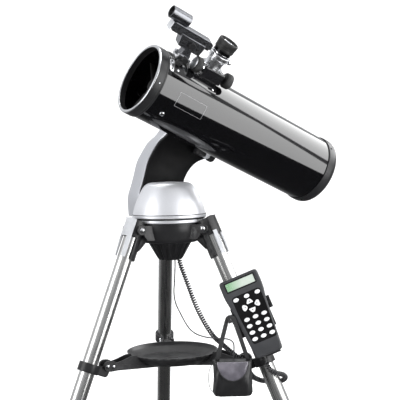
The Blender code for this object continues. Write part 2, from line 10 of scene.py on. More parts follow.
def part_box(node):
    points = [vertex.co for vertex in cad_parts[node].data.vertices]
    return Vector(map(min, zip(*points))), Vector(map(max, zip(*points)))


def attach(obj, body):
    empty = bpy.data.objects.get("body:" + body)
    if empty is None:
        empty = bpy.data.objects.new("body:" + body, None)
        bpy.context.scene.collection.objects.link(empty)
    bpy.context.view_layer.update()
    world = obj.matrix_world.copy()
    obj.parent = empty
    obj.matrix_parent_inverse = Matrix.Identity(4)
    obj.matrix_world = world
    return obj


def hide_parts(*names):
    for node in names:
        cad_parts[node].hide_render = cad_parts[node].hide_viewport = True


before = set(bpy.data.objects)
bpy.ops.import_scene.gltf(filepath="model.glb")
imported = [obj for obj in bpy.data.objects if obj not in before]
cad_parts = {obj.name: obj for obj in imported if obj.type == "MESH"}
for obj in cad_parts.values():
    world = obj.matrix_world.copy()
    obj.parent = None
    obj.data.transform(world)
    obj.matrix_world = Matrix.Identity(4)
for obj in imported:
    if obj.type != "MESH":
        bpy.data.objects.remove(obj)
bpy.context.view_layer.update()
MM = 0.001
LEG_AZIMUTH = {"left": 217.0, "right": 337.0, "rear": 97.0}
LEG_SLOPE = 23.3
scene = bpy.context.scene


def place(at=(0, 0, 0), turn=(0, 0, 0)):
    """A frame in mm, turned by degrees about X, Y and Z."""
    return Matrix.Translation(at) @ Euler([radians(v) for v in turn]).to_matrix().to_4x4()


# Frames of the moving groups, all in mm. The tube's own X runs to its rear.
MOUNT = place(turn=(0, 0, 31.7))
AXLE = (100.6, 0, 797)
ALT = MOUNT @ place(AXLE, (0, 24, 0))
TUBE = ALT @ place((0, -84, 0))
SIDE = TUBE @ place((-118, 0, 0), (36, 0, 0))
FINDER = TUBE @ place((-182, 0, 0), (36, 0, 0))
LEG = {}
for side, azimuth in LEG_AZIMUTH.items():
    turn = radians(azimuth)
    LEG[side] = place((84 * cos(turn), 84 * sin(turn), 603), (0, 180 - LEG_SLOPE, azimuth))
HAND_CENTRE = Vector((160.6, -105.0, 434.4))
hand_up = -LEG["right"].col[2].xyz
hand_front = Vector((0, -1, 0)) - hand_up * hand_up.dot(Vector((0, -1, 0)))
hand_front.normalize()
hand_side = hand_up.cross(hand_front)
HAND = Matrix.Translation(HAND_CENTRE) @ Matrix((hand_side, hand_up, hand_front)).transposed().to_4x4()

# ---- camera
camera_data = bpy.data.cameras.new("camera")
camera = bpy.data.objects.new("camera", camera_data)
scene.collection.objects.link(camera)
SENSOR, LENS_LENGTH, CAMERA_AT, ROLL, PITCH = 36.0, 82.17, (0.063, -1.85, 0.72), -1.3, -2.07
camera_data.sensor_width, camera_data.lens = SENSOR, LENS_LENGTH
camera_data.clip_start, camera_data.clip_end = 0.05, 60.0
camera.location = CAMERA_AT
camera.rotation_euler = (Matrix.Rotation(radians(90 + PITCH), 3, "X") @ Matrix.Rotation(radians(ROLL), 3,
    "Z")).to_euler()
scene.camera = camera


# ---- node materials
class Nodes:
    """A material being built: its nodes, links and shader."""

    def __init__(self, name, colour, rough, metal=0.0):
        self.mat = bpy.data.materials.new(name)
        self.mat.use_nodes = True
        self.tree = self.mat.node_tree
        self.shader = self.tree.nodes["Principled BSDF"]
        self.shader.inputs["Base Color"].default_value = (*colour, 1)
        self.shader.inputs["Roughness"].default_value = rough
        self.shader.inputs["Metallic"].default_value = metal
        self.colour, self.rough, self.last_bump = colour, rough, None
        self.place = self.tree.nodes.new("ShaderNodeTexCoord").outputs["Object"]

    def add(self, kind, **values):
        node = self.tree.nodes.new("ShaderNode" + kind)
        for key, value in values.items():
            if key in node.inputs:
                node.inputs[key].default_value = value
            else:
                setattr(node, key, value)
        return node

    def link(self, out, into):
        self.tree.links.new(out, into)

    def noise(self, scale, detail=3.0, stretch=None, turn=(0, 0, 0)):
        """Noise over the piece, with features about 1/scale metres wide."""
        node = self.add("TexNoise", Scale=scale, Detail=detail)
        where = self.place
        if stretch:
            mapping = self.add("Mapping", vector_type="TEXTURE", Rotation=turn, Scale=stretch)
            self.link(where, mapping.inputs["Vector"])
            where = mapping.outputs["Vector"]
        self.link(where, node.inputs["Vector"])
        return node.outputs["Fac"]

    def spread(self, fac, low, high, near=0.3, far=0.7):
        """A factor's range from near to far, spread over low to high."""
        node = self.add("MapRange", **{"From Min": near, "From Max": far, "To Min": low, "To Max": high})
        self.link(fac, node.inputs["Value"])
        return node.outputs["Result"]

    def roughness(self, fac, by, near=0.3, far=0.7):
        self.link(self.spread(fac, self.rough - by, self.rough + by, near, far),
            self.shader.inputs["Roughness"])

    def tint(self, fac, other, near=0.3, far=0.7):
        """Blend the base colour towards another by a factor. Calls stack."""
        mix = self.add("Mix", data_type="RGBA")
        self.link(self.spread(fac, 0, 1, near, far), mix.inputs["Factor"])
        into = self.shader.inputs["Base Color"]
        if into.links:
            self.link(into.links[0].from_socket, mix.inputs["A"])
        else:
            mix.inputs["A"].default_value = (*self.colour, 1)
        mix.inputs["B"].default_value = (*other, 1)
        self.link(mix.outputs["Result"], into)

    def bump(self, fac, depth, strength=1.0):
        """Raise the surface by depth metres where the factor is 1. Calls stack."""
        node = self.add("Bump", Strength=strength, Distance=depth)
        self.link(fac, node.inputs["Height"])
        if self.last_bump:
            self.link(self.last_bump, node.inputs["Normal"])
        self.last_bump = node.outputs["Normal"]
        self.link(self.last_bump, self.shader.inputs["Normal"])

    def edges(self, colour, near=0.53, far=0.62):
        """Wear: rub the colour in along the sharp edges, broken up by noise."""
        point = self.add("NewGeometry").outputs["Pointiness"]
        rub = self.add("Math", operation="MULTIPLY")
        self.link(self.spread(point, 0, 1, near, far), rub.inputs[0])
        self.link(self.spread(self.noise(160), 0, 1, 0.4, 0.6), rub.inputs[1])
        self.tint(rub.outputs[0], colour, 0, 1)

    def set(self, **values):
        for key, value in values.items():
            self.shader.inputs[key.replace("_", " ")].default_value = value


def moulded(name, colour, rough, grain=0.00006, wear=0.05, size=1300, shine=0.4):
    """Moulded plastic: fine spark grain, faint cloudiness, lighter rubbed edges."""
    n = Nodes(name, colour, rough)
    n.set(Specular_IOR_Level=shine)
    n.roughness(n.noise(45), 0.06)
    n.tint(n.noise(18), tuple(c * 1.5 + 0.003 for c in colour), 0.45, 0.85)
    n.bump(n.noise(size, 2.0), grain, 0.55)
    n.edges(tuple(c + wear for c in colour))
    return n.mat


def painted(name, colour, rough, metal, coat, flake=0.0, peel=0.25, shine=0.5, dust=0.04):
    """Sprayed paint with a slight orange peel, flakes and a few dust specks."""
    n = Nodes(name, colour, rough, metal)
    n.set(Coat_Weight=coat, Coat_Roughness=0.04)
    n.roughness(n.noise(30), rough * 0.25)
    if flake:
        n.tint(n.noise(2600, 1.0), tuple(c * (1 + flake) for c in colour), 0.5, 0.75)
    n.tint(n.noise(700, 1.0), tuple(min(1, c + dust) for c in colour), 0.76, 0.84)
    n.set(Specular_IOR_Level=shine)
    n.bump(n.noise(260, 2.0), 0.00002, peel)
    return n.mat


def metal(name, colour, rough, stretch=None, turn=(0, 0, 0), streak=0.35):
    """Polished or drawn metal: long fine streaks, smears and small scratches."""
    n = Nodes(name, colour, rough, 1.0)
    lines = n.noise(900, 4.0, stretch or (1, 1, 1), turn)
    n.roughness(lines, rough * streak, 0.35, 0.65)
    n.tint(n.noise(25), tuple(c * 0.82 for c in colour), 0.45, 0.8)
    n.bump(lines, 0.00001, 0.3)
    return n.mat


def rubber(name, colour, rough):
    """Matt rubber, faintly cloudy."""
    n = Nodes(name, colour, rough)
    n.roughness(n.noise(80), 0.1)
    n.tint(n.noise(60), tuple(c * 2 + 0.012 for c in colour), 0.5, 0.8)
    n.bump(n.noise(900, 3.0), 0.00008, 0.6)
    return n.mat


def glass(name, colour, rough=0.03):
    """A coated lens."""
    n = Nodes(name, colour, rough)
    n.set(Coat_Weight=1.0, Coat_Roughness=0.02)
    n.tint(n.noise(90), tuple(c * 0.7 for c in colour), 0.3, 0.8)
    n.roughness(n.noise(300), 0.02)
    return n.mat


TUBE_PAINT = painted("tube_paint", (0.0015, 0.0015, 0.002), 0.07, 0.0, 0.0, peel=0.12, shine=0.8, dust=0.012)
SILVER = painted("silver_paint", (0.72, 0.73, 0.76), 0.42, 0.6, 0.05, 0.12, 0.04)
# Painted shade: the arm has the dome's silver paint, drawn darker here for the shade on its side
SILVER_ARM_PAINTED_SHADE = painted("silver_arm_painted_shade", (0.47, 0.48, 0.51), 0.36, 0.5, 0.05, 0.12, 0.04)
BLACK = moulded("black_plastic", (0.011, 0.011, 0.012), 0.38)
BLACK_SOFT = moulded("black_cover", (0.004, 0.004, 0.0045), 0.5, 0.0001, 0.02, shine=0.12)
BLACK_GLOSS = painted("black_gloss", (0.008, 0.008, 0.009), 0.10, 0.0, 0.6)
FLAT_BLACK = moulded("flat_black", (0.006, 0.006, 0.006), 0.85, 0.00012)
GREY_COVER = moulded("grey_cover", (0.44, 0.45, 0.47), 0.30, 0.00004, 0.2)
ANODISED = metal("black_anodised", (0.035, 0.035, 0.038), 0.3)
GREY_METAL = metal("grey_metal", (0.22, 0.225, 0.24), 0.3)
BRIGHT_METAL = metal("bright_metal", (0.80, 0.81, 0.83), 0.3)
CHROME = metal("chrome", (0.78, 0.79, 0.81), 0.07)
RIM = metal("rim_metal", (0.74, 0.75, 0.77), 0.2)
RUBBER = rubber("black_rubber", (0.011, 0.011, 0.011), 0.5)
CORD_SKIN = rubber("cord_skin", (0.035, 0.035, 0.038), 0.3)
MIRROR = metal("mirror_glass", (0.9, 0.92, 0.94), 0.015)
# Painted reflection: the eye lens is given a pale grey colour for the light its coated glass mirrors
EYE_LENS_PAINTED_REFLECTION = glass("eye_lens_painted_reflection", (0.62, 0.63, 0.68))
FINDER_LENS = glass("finder_lens_red", (0.06, 0.012, 0.02))
KEY = moulded("key_caps", (0.66, 0.67, 0.68), 0.42, 0.00004, 0.05)
CASE_PLASTIC = moulded("case_plastic", (0.034, 0.035, 0.038), 0.42)
PRINT = painted("printed_line", (0.34, 0.34, 0.35), 0.4, 0.0, 0.0)
STEEL = {}
for side, azimuth in LEG_AZIMUTH.items():
    lean = Euler([radians(v) for v in (0, 180 - LEG_SLOPE, azimuth)])
    STEEL[side] = metal("leg_steel_" + side, (0.64, 0.64, 0.63), 0.24, (1, 1, 60), lean, 0.4)


# ---- mesh helpers
def rounded(points, closed=True, steps=4):
    """Round the corners of an outline. A point's third number is its corner radius."""
    out, count = [], len(points)
    for i, point in enumerate(points):
        radius = point[2] if len(point) > 2 else 0
        here = Vector(point[:2])
        if not radius or (not closed and i in (0, count - 1)):
            out.append(tuple(here))
            continue
        before, after = Vector(points[i - 1][:2]) - here, Vector(points[(i + 1) % count][:2]) - here
        a = here + before.normalized() * min(radius, before.length * 0.49)
        b = here + after.normalized() * min(radius, after.length * 0.49)
        for k in range(steps + 1):
            t = k / steps
            out.append(tuple(a * (1 - t) ** 2 + here * 2 * t * (1 - t) + b * t * t))
    return out


def lathe(profile, steps=96, closed=False, corner=4):
    """Turn (radius, height, corner radius) points about Z."""
    bm, rings = bmesh.new(), []
    for r, z in rounded(profile, closed, corner):
        if r < 1e-6:
            rings.append([bm.verts.new((0, 0, z))])
        else:
            turns = [tau * i / steps for i in range(steps)]
            rings.append([bm.verts.new((r * cos(a), r * sin(a), z)) for a in turns])
    pairs = list(zip(rings, rings[1:]))
    if closed:
        pairs.append((rings[-1], rings[0]))
    for a, b in pairs:
        for i in range(steps):
            j = (i + 1) % steps
            if len(a) == 1 and len(b) > 1:
                bm.faces.new((a[0], b[i], b[j]))
            elif len(b) == 1 and len(a) > 1:
                bm.faces.new((a[i], b[0], a[j]))
            elif len(a) > 1:
                bm.faces.new((a[i], b[i], b[j], a[j]))
    return bm


def loft(rings):
    """A skin through rings of points, capped at both ends."""
    bm = bmesh.new()
    made = [[bm.verts.new(p) for p in ring] for ring in rings]
    for a, b in zip(made, made[1:]):
        for i in range(len(a)):
            j = (i + 1) % len(a)
            bm.faces.new((a[i], a[j], b[j], b[i]))
    bm.faces.new(made[0][::-1])
    bm.faces.new(made[-1])
    return bm


def slab(outline, low, high, plane="XY", corner=4):
    """An outline made thick. Plane XZ stands it up, with its thickness along Y."""
    ring = rounded(outline, True, corner)
    if plane == "XZ":
        return loft([[(x, level, z) for x, z in ring] for level in (low, high)])
    return loft([[(x, y, level) for x, y in ring] for level in (low, high)])


def block(low, high):
    """A box between two corners."""
    x0, y0, z0 = low
    x1, y1, z1 = high
    return slab([(x0, y0), (x1, y0), (x1, y1), (x0, y1)], z0, z1)


def shifted(bm, at=(0, 0, 0), turn=(0, 0, 0)):
    """A mesh turned, then moved."""
    bm.transform(place(at, turn))
    return bm


def merged(first, *others):
    """Several meshes in one, as separate shells."""
    for other in others:
        mesh = bpy.data.meshes.new("part")
        other.to_mesh(mesh)
        other.free()
        first.from_mesh(mesh)
        bpy.data.meshes.remove(mesh)
    return first


def ribbed(radius, depth, height, ribs, fine=6):
    """A ring that waves in and out for grip ribs."""
    ring = []
    for i in range(ribs * fine):
        a = tau * i / (ribs * fine)
        wave = 0.5 - 0.5 * tanh(3 * cos(a * ribs)) / tanh(3)
        r = radius - depth * wave
        ring.append((r * cos(a), r * sin(a), height))
    return ring


def grip(ribs, layers, fine=6):
    """A knob with grip ribs, through layers of (radius, rib depth, height)."""
    return loft([ribbed(*layer, ribs, fine) for layer in layers])


def facing_out(profile, steps, at=(0, 0, 0)):
    """A turned shape made twice: it points along +Y, and along -Y on the other side."""
    return [shifted(lathe(profile, steps), (at[0], at[1] * way, at[2]), (-90 * way, 0, 0)) for way in (1, -1)]


def curved_bar(bm, rows):
    """A bar through rows of four points: two of its inner face, then two of its outer."""
    rows = [[bm.verts.new(point) for point in row] for row in rows]
    for p, q in zip(rows, rows[1:]):
        for i, j in ((0, 1), (1, 3), (3, 2), (2, 0)):
            bm.faces.new((p[i], p[j], q[j], q[i]))
    for row in (rows[0], rows[-1]):
        bm.faces.new((row[0], row[1], row[3], row[2]))


def on_curve(x0, x1, low, high, around):
    """The four points of a bar from x0 to x1 that lies on the tube's skin, at an angle."""
    return [(x, -r * sin(around), r * cos(around)) for r in (low, high) for x in (x0, x1)]


def to_mesh(name, bm, at=None):
    """Finish a bmesh that is in mm, set down in a frame, as an object in metres."""
    if at is not None:
        bm.transform(at)
    bm.transform(Matrix.Scale(MM, 4))
    bmesh.ops.recalc_face_normals(bm, faces=bm.faces)
    mesh = bpy.data.meshes.new(name)
    bm.to_mesh(mesh)
    bm.free()
    obj = bpy.data.objects.new(name, mesh)
    scene.collection.objects.link(obj)
    return obj


def carve(obj, *tools):
    """Cut tools, which are objects, out of obj for good."""
    for tool in tools:
        mod = obj.modifiers.new("carve", "BOOLEAN")
        mod.operation = "DIFFERENCE"
        mod.solver = "EXACT"
        mod.object = tool
    bpy.context.view_layer.update()
    mesh = bpy.data.meshes.new_from_object(obj.evaluated_get(bpy.context.evaluated_depsgraph_get()))
    obj.modifiers.clear()
    obj.data = mesh
    for tool in tools:
        bpy.data.objects.remove(tool)
    return obj


def soften(obj, width, angle=35):
    """Round the sharp edges by width, in mm."""
    mod = obj.modifiers.new("edge", "BEVEL")
    mod.width = width * MM
    mod.segments = 2
    mod.limit_method = "ANGLE"
    mod.angle_limit = radians(angle)


def dress(obj, body, material, stands=(), slot=None, edge=0.0, smooth=38):
    """Give a finished object its material, shading, body and the solids it stands for."""
    obj.data.materials.clear()
    obj.data.materials.append(material)
    obj.data.shade_smooth()
    obj.data.set_sharp_from_angle(angle=radians(smooth))
    if edge:
        soften(obj, edge)
    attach(obj, body)
    if stands:
        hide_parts(*([stands] if isinstance(stands, str) else stands))
    return obj


def piece(name, body, material, bm, at=None, **more):
    return dress(to_mesh(name, bm, at), body, material, **more)


def fixed(name, *what, **more):
    return piece(name, "tripod", *what, **more)


def optic(name, *what, **more):
    return piece(name, "tube_assembly", *what, **more)


def keep(node, material, edge=0.0):
    """A solid that stays: a better material, joined faces and softened edges."""
    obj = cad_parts[node]
    obj.data.materials.clear()
    obj.data.materials.append(material)
    weld = obj.modifiers.new("weld", "WELD")
    weld.merge_threshold = 0.000005
    obj.data.shade_smooth()
    if edge:
        soften(obj, edge, 30)


# ---- cords
def smooth_route(points, step=2.0):
    """A Catmull-Rom curve through the points, with a point about every step mm."""
    pts = [Vector(p) for p in points]
    pts = [pts[0] * 2 - pts[1]] + pts + [pts[-1] * 2 - pts[-2]]
    out = []
    for a, b, c, d in zip(pts, pts[1:], pts[2:], pts[3:]):
        n = max(1, round((c - b).length / step))
        for k in range(n):
            t = k / n
            out.append(0.5 * (2 * b + (c - a) * t + (2 * a - 5 * b + 4 * c - d) * t ** 2
                              + (3 * b - a - 3 * c + d) * t ** 3))
    return out + [pts[-2]]


def cord_curve(name, points, radius, material, resolution=2):
    """A round cord along points in mm, as a curve with closed ends."""
    data = bpy.data.curves.new(name, "CURVE")
    data.dimensions = "3D"
    data.bevel_depth = radius * MM
    data.bevel_resolution = resolution
    data.use_fill_caps = True
    line = data.splines.new("POLY")
    line.points.add(len(points) - 1)
    for spot, p in zip(line.points, points):
        spot.co = (*[v * MM for v in p], 1)
    line.use_smooth = True
    data.materials.append(material)
    obj = bpy.data.objects.new(name, data)
    scene.collection.objects.link(obj)
    return obj


def wound(route, pitch, radius, per_turn=12, plain=10.0):
    """Wind a helix round a route, with a plain stretch at each end."""
    fine = smooth_route(route, 1.0)
    along = np.concatenate([[0], np.cumsum([(b - a).length for a, b in zip(fine, fine[1:])])])
    total = along[-1]
    across = Vector((1, 0, 0))
    sides = []
    for i, p in enumerate(fine):
        ahead = (fine[min(i + 1, len(fine) - 1)] - fine[max(i - 1, 0)]).normalized()
        across = (across - ahead * across.dot(ahead)).normalized()
        sides.append((across.copy(), ahead.cross(across)))
    out = []
    count = int((total - 2 * plain) / pitch * per_turn)
    for k in range(count + 1):
        s = plain + (total - 2 * plain) * k / count
        i = min(int(np.searchsorted(along, s, side="right")) - 1, len(fine) - 2)
        t = (s - along[i]) / (along[i + 1] - along[i])
        grow = min(1, k / per_turn, (count - k) / per_turn)
        angle = tau * k / per_turn
        a, b = sides[i]
        out.append(fine[i].lerp(fine[i + 1], t) + (a * cos(angle) + b * sin(angle)) * radius * grow)
    return [fine[0]] + out + [fine[-1]]


CURLY = [(18, 51, 555.7), (18, 51, 545), (18.5, 45, 522), (34, 32, 478), (49, 16, 438), (66, -4, 405),
    (84, -26, 380), (100, -46, 368), (114, -64, 358), (128, -80, 349), (140, -88, 341), (156, -86, 313),
    (169, -67, 300), (185, -50, 292), (203, -49, 290), (218, -62, 296), (222, -80, 306), (215, -99, 316),
    (201, -112, 322), (189, -119, 331)]
WIRE = [(6, 51, 555.7), (6, 51, 545), (8, 48, 522), (6, 44, 482), (4.5, 40, 461), (8, 32, 439), (19, 18, 417),
    (33, 0, 395), (48, -22, 385), (68, -46, 382), (90, -68, 383), (111, -84, 384), (121, -94, 379),
    (122, -102, 368), (121, -104, 357), (121, -104, 350)]
hand_end = HAND_CENTRE + hand_side * -13 - hand_up * 80.8
CURLY += [tuple(hand_end - hand_up * 9), tuple(hand_end - hand_up * 4), tuple(hand_end)]


def boot(name, at, towards, length, wide, thin):
    """A tapered strain relief with ring grooves, from a housing along a cord."""
    aim = Vector(towards).to_track_quat("Z", "Y").to_matrix().to_4x4()
    profile = [(0, -1), (wide, -1, 0.4), (wide, 2)]
    for k in range(1, 5):
        z = 2 + (length - 2) * k / 5
        r = wide + (thin - wide) * k / 5
        profile += [(r + 0.25, z - 1.0, 0.2), (r + 0.25, z, 0.2), (r - 0.35, z + 0.2), (r - 0.35, z + 0.8)]
    profile += [(thin, length, 0.3), (0, length)]
    return fixed(name, RUBBER, lathe(profile, 32), Matrix.Translation(at) @ aim, slot="black_rubber")


curly_line = wound(CURLY, 5.2, 3.6)
curly = cord_curve("curly_cord_wire", curly_line, 1.65, CORD_SKIN)
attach(curly, "tripod")
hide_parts("curly_cord")
boots = [boot("curly_boot_top", CURLY[0], (0, 0, -1), 12, 4.2, 1.9), boot("curly_boot_end", hand_end,
    -hand_up, 12, 4.2, 1.9)]
wire_line = smooth_route(WIRE, 5.0)
wire = cord_curve("power_lead", wire_line, 1.3, CORD_SKIN, 3)
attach(wire, "tripod")
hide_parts("power_cord")
boots.append(boot("power_boot", WIRE[0], (0, 0, -1), 20, 3.2, 1.5))


def length_of(points):
    """The length in metres of a line through points in mm."""
    return sum((Vector(b) - Vector(a)).length for a, b in zip(points, points[1:])) * MM


print("curly wire", round(length_of(curly_line), 3), "lead", round(length_of(wire_line), 3))

# ---- tripod head
hub = merged(lathe([(0, 570), (54, 570, 2), (60, 574.5, 4), (66, 596, 6), (66, 610, 1.5), (0, 610)], 128),
    lathe([(65.8, 604.5), (66.7, 604.5, 0.4), (66.7, 606.5, 0.4), (65.8, 606.5)], 128, True),)
EAR = [(50, 577), (71, 577, 5), (80, 588, 6), (80, 607, 4), (50, 607)]
for azimuth in LEG_AZIMUTH.values():
    for low, high in ((20.8, 27.0), (-27.0, -20.8)):
        ear = slab(EAR, low, high, "XZ", 5)
        bmesh.ops.bevel(ear, geom=ear.edges[:], offset=0.7, segments=2, affect="EDGES", clamp_overlap=True)
        merged(hub, shifted(ear, turn=(0, 0, azimuth)))
merged(hub, block((-4, 45.7, 556), (27, 56.5, 582)))
fixed("tripod_hub", BLACK, hub, stands="tripod_head", slot="black_plastic", edge=0.4, smooth=45)
sockets = merged(*[shifted(lathe([(0, 0), (wide, 0, 0.3), (wide, 1.2, 0.3), (wide - 0.9, 1.2),
    (wide - 0.9, 0.4), (0, 0.4)], 32), (x, 51, 555.6), (180, 0, 0)) for x, wide in ((18, 5.4), (6, 4.2))])
fixed("cord_sockets", GREY_METAL, sockets)
fixed("turntable_rim", SILVER, lathe([(0, 610.3), (69.6, 610.3, 0.5), (70.4, 611.5, 0.6), (70.4, 616, 0.8),
    (69, 617), (0, 617)], 128), stands="base_ring", slot="silver_metal")
keep("azimuth_wheel", FLAT_BLACK)

# Pivot bolts through the ears, with domed nuts on round bosses
PIVOT_OUT, PIVOT_UP = 85, 599
for name, azimuth in LEG_AZIMUTH.items():
    pivot = place(turn=(0, 0, azimuth)) @ place((PIVOT_OUT, 0, PIVOT_UP))
    fixed("pivot_bolts_" + name, BRIGHT_METAL, merged(*facing_out([(0, 33.4), (2.6, 33), (4.6, 31.2, 0.6),
        (5.2, 30.4, 0.3), (5.2, 28.6), (0, 28.6)], 36)), pivot)
    fixed("pivot_bosses_" + name, BLACK, merged(*facing_out([(0, 28.7), (9.6, 28.7, 0.6), (10.6, 27.1, 0.2),
        (0, 27.1)], 48)), pivot)

# The big clamping knob: wide ribs that taper downwards, with a recessed end cap
knob = grip(16, [(20.5, 0.6, -36), (22.5, 0.8, -35.6), (23.8, 1.2, -34.4), (26.6, 2.2, -31), (41.4, 3.2, -5),
    (42.8, 2.4, -2.4), (43.4, 1.2, -1.2), (43.4, 0.4, -0.3)])
merged(knob, lathe([(0, -36.6), (14, -36.6, 0.6), (14.6, -35.9)], 48))
piece("clamp_knob", "mount_knob", BLACK, knob, place((0, 0, 570)), stands="mount_knob", slot="black_plastic",
    smooth=30)

# ---- legs
# Heights in a leg's frame run down from its pivot
COVER_HALF_ARC, KNOB_ALONG = 56, 576
for name in LEG_AZIMUTH:
    at, steel = LEG[name], STEEL[name]
    fixed("leg_tube_" + name, steel, lathe([(13.5, 2.7), (15, 2.7, 0.4), (15, 4), (15, 588.6),
        (15, 589.9, 0.4), (13.5, 589.9)], 64, True), at, stands="upper_leg_" + name, slot="steel_tube")
    piece("inner_leg_" + name, "leg_" + name, steel, lathe([(11.7, 200), (12.9, 200), (12.9, 632),
        (11.7, 632)], 64, True), at, stands="lower_leg_" + name, slot="steel_tube")
    # Bracket: its body, a cover round its outer side, and two strips that run down from that
    keep("bracket_" + name, BLACK, 0.6)
    arc = [radians(180 + COVER_HALF_ARC * (2 * k / 24 - 1)) for k in range(25)]
    cover = bmesh.new()
    rows = [[cover.verts.new((r * cos(a), r * sin(a), z)) for a in arc] for r, z in ((20.25, -13.6),
        (20.25, 22), (21.6, 22), (21.6, -14.5))]
    for a, b in zip(rows, rows[1:] + rows[:1]):
        for k in range(24):
            cover.faces.new((a[k], a[k + 1], b[k + 1], b[k]))
    for k in (0, -1):
        cover.faces.new([row[k] for row in rows])
    top = [(-21.6, -14.5), (-18, -15.8, 2), (-8, -15.8, 1), (-8, -14.2), (-21.6, -13.6)]
    merged(cover, slab(top, -10, 10, "XZ"))
    strips = [shifted(slab([(17.4, 14), (21.6, 14), (21.6, 30), (19.6, 63), (17.6, 63)], -4.4, 4.4, "XZ"),
        turn=(0, 0, around)) for around in (138, 222)]
    # Painted shade: the right leg's cover is drawn black, though all three covers are the same grey part
    fixed("bracket_cover_" + name, BLACK if name == "right" else GREY_COVER, cover, at, edge=0.5)
    fixed("bracket_strips_" + name, GREY_COVER, merged(*strips), at, edge=0.5)
    # Lock collar, its split and pinch boss, and the star knob
    fixed("collar_" + name, BLACK, merged(lathe([(15.3, 556), (19, 556, 1), (20, 558, 1), (20, 593, 1.5),
        (17.6, 598, 1), (13.2, 598), (13.2, 590.3), (15.3, 590.3)], 64, True),
        shifted(lathe([(0, 17), (6.5, 17), (6.5, 26.4, 0.6), (5, 27), (0, 27)], 32), (0, 0, KNOB_ALONG),
        (0, -90, 0)), shifted(lathe([(19.9, -1.2), (20.7, -1.2, 0.4), (20.7, 1.2, 0.4), (19.9, 1.2)], 64,
        True), (0, 0, 563))), at, stands="lock_collar_" + name, slot="black_plastic")
    star = grip(6, [(6.0, 0.5, 0.4), (6.8, 0.8, 3.4), (9.6, 2.2, 5.0), (10.0, 2.6, 7), (10.0, 2.6, 14),
        (9.4, 2.2, 15.6), (7.0, 1.0, 16.2)], 8)
    piece("star_knob_" + name, "lock_knob_" + name, BLACK, star, at @ place((-27, 0, KNOB_ALONG),
        (0, -90, 0)), stands="lock_knob_" + name, slot="black_plastic", smooth=45)
    keep("foot_" + name, RUBBER, 0.5)
    # Tray clamp ring with its lug
    lug = slab([(17.5, 277), (40, 271, 2), (44, 275, 2), (44, 288, 3), (40, 293, 3), (17.5, 293)], -6, 6,
        "XZ")
    fixed("clamp_ring_" + name, BLACK, merged(lathe([(15.3, 276), (20.5, 276, 0.8), (20.5, 294, 0.8),
        (15.3, 294)], 64, True), lug), at, stands="tray_clamp_" + name, slot="black_plastic", edge=0.4)

# ---- tray
dish = lathe([(0, 327.5), (70, 328.4, 6), (88, 340, 4), (93, 349, 0.8), (90.6, 349, 0.8), (86, 342.5, 4),
    (68, 331, 5), (14, 331), (13, 331.7, 0.5), (11.5, 331.7, 0.4), (11, 331), (0, 331)], 128)
for azimuth in LEG_AZIMUTH.values():
    arm = slab([(40, 322, 3), (148, 330), (148, 344), (88, 332, 6), (40, 328.5)], -13, 13, "XZ")
    merged(dish, shifted(arm, turn=(0, 0, azimuth)))
    cheek = [(140, 329, 3), (158, 329, 5), (168, 335, 5), (168, 345, 5), (160, 351, 5), (146, 349, 3),
        (140, 343)]
    for low, high in ((6.3, 12.0), (-12.0, -6.3)):
        merged(dish, shifted(slab(cheek, low, high, "XZ"), turn=(0, 0, azimuth)))
    rib = [(60, 328.6), (142, 332), (142, 344.5), (128, 347, 3), (106, 353, 4), (94, 353, 2), (91.5, 347),
        (84, 337)]
    for side in (-11.2, 11.2):
        merged(dish, shifted(slab(rib, side - 1.1, side + 1.1, "XZ"), turn=(0, 0, azimuth)))
fixed("tray_dish", BLACK, dish, stands="tray", slot="black_plastic", edge=0.5, smooth=42)
for name, azimuth in LEG_AZIMUTH.items():
    fixed("arm_bolts_" + name, CHROME,
        merged(*[bolt for x, z in ((148, 338), (161, 340)) for bolt in facing_out([(0, 15), (2.0, 14.8),
        (3.6, 13.8, 0.4), (3.9, 12.1), (0, 12.1)], 24, (x, 0, z))]), place(turn=(0, 0, azimuth)))

# ---- mount head
piece("dome_shell", "azimuth_arm", SILVER, lathe([(74.6, 620), (75.2, 621, 0.5), (75.2, 625.4, 0.4),
    (74.2, 625.8), (74.2, 627), (73.9, 628, 1), (69.8, 645, 10), (61, 666, 10), (50.5, 684.4, 9),
    (40, 690.4, 6), (0, 692.2)], 160, corner=6), MOUNT, stands="dome", slot="silver_shell", smooth=30)
piece("dome_seam", "azimuth_arm", FLAT_BLACK, merged(lathe([(73.2, 620.1), (74.5, 620.1), (74.5, 619.2),
    (73.2, 619.2)], 128, True), lathe([(73.6, 625.3), (74.6, 625.3), (74.6, 627.1), (73.6, 627.1)], 128,
    True)), MOUNT)
ARM_LEFT = [(-56, 622), (-57, 660), (-48, 688), (-42, 707), (-34, 733), (-22.4, 753), (-6.6, 774.4),
    (13.8, 791), (35, 815), (66, 835), (100, 843)]
ARM_RIGHT = [(134, 830), (149, 803), (141, 768), (118, 743), (88.4, 731.6), (74.4, 723.4), (62.9, 712),
    (54.7, 700), (50, 688), (48, 660), (20, 622)]
arm_line = [(p.x, p.y) for p in smooth_route([(x, z, 0) for x, z in ARM_LEFT + ARM_RIGHT], 5)]


def inset(line, by):
    """An outline that runs clockwise, moved in by a distance, with mitred corners."""
    out = []
    for before, here, after in zip(line[-1:] + line[:-1], line, line[1:] + line[:1]):
        a, b = [Vector((q[1] - p[1], p[0] - q[0])).normalized() for p, q in ((before, here), (here, after))]
        step = (a + b) * (by / max(0.4, 1 + a.dot(b)))
        out.append((here[0] + step.x, here[1] + step.y))
    return out


def bulged(line, layers):
    """Rings of an outline standing on XZ, each drawn in by an amount at a depth."""
    return loft([[(x, depth, z) for x, z in inset(line, by)] for depth, by in layers])


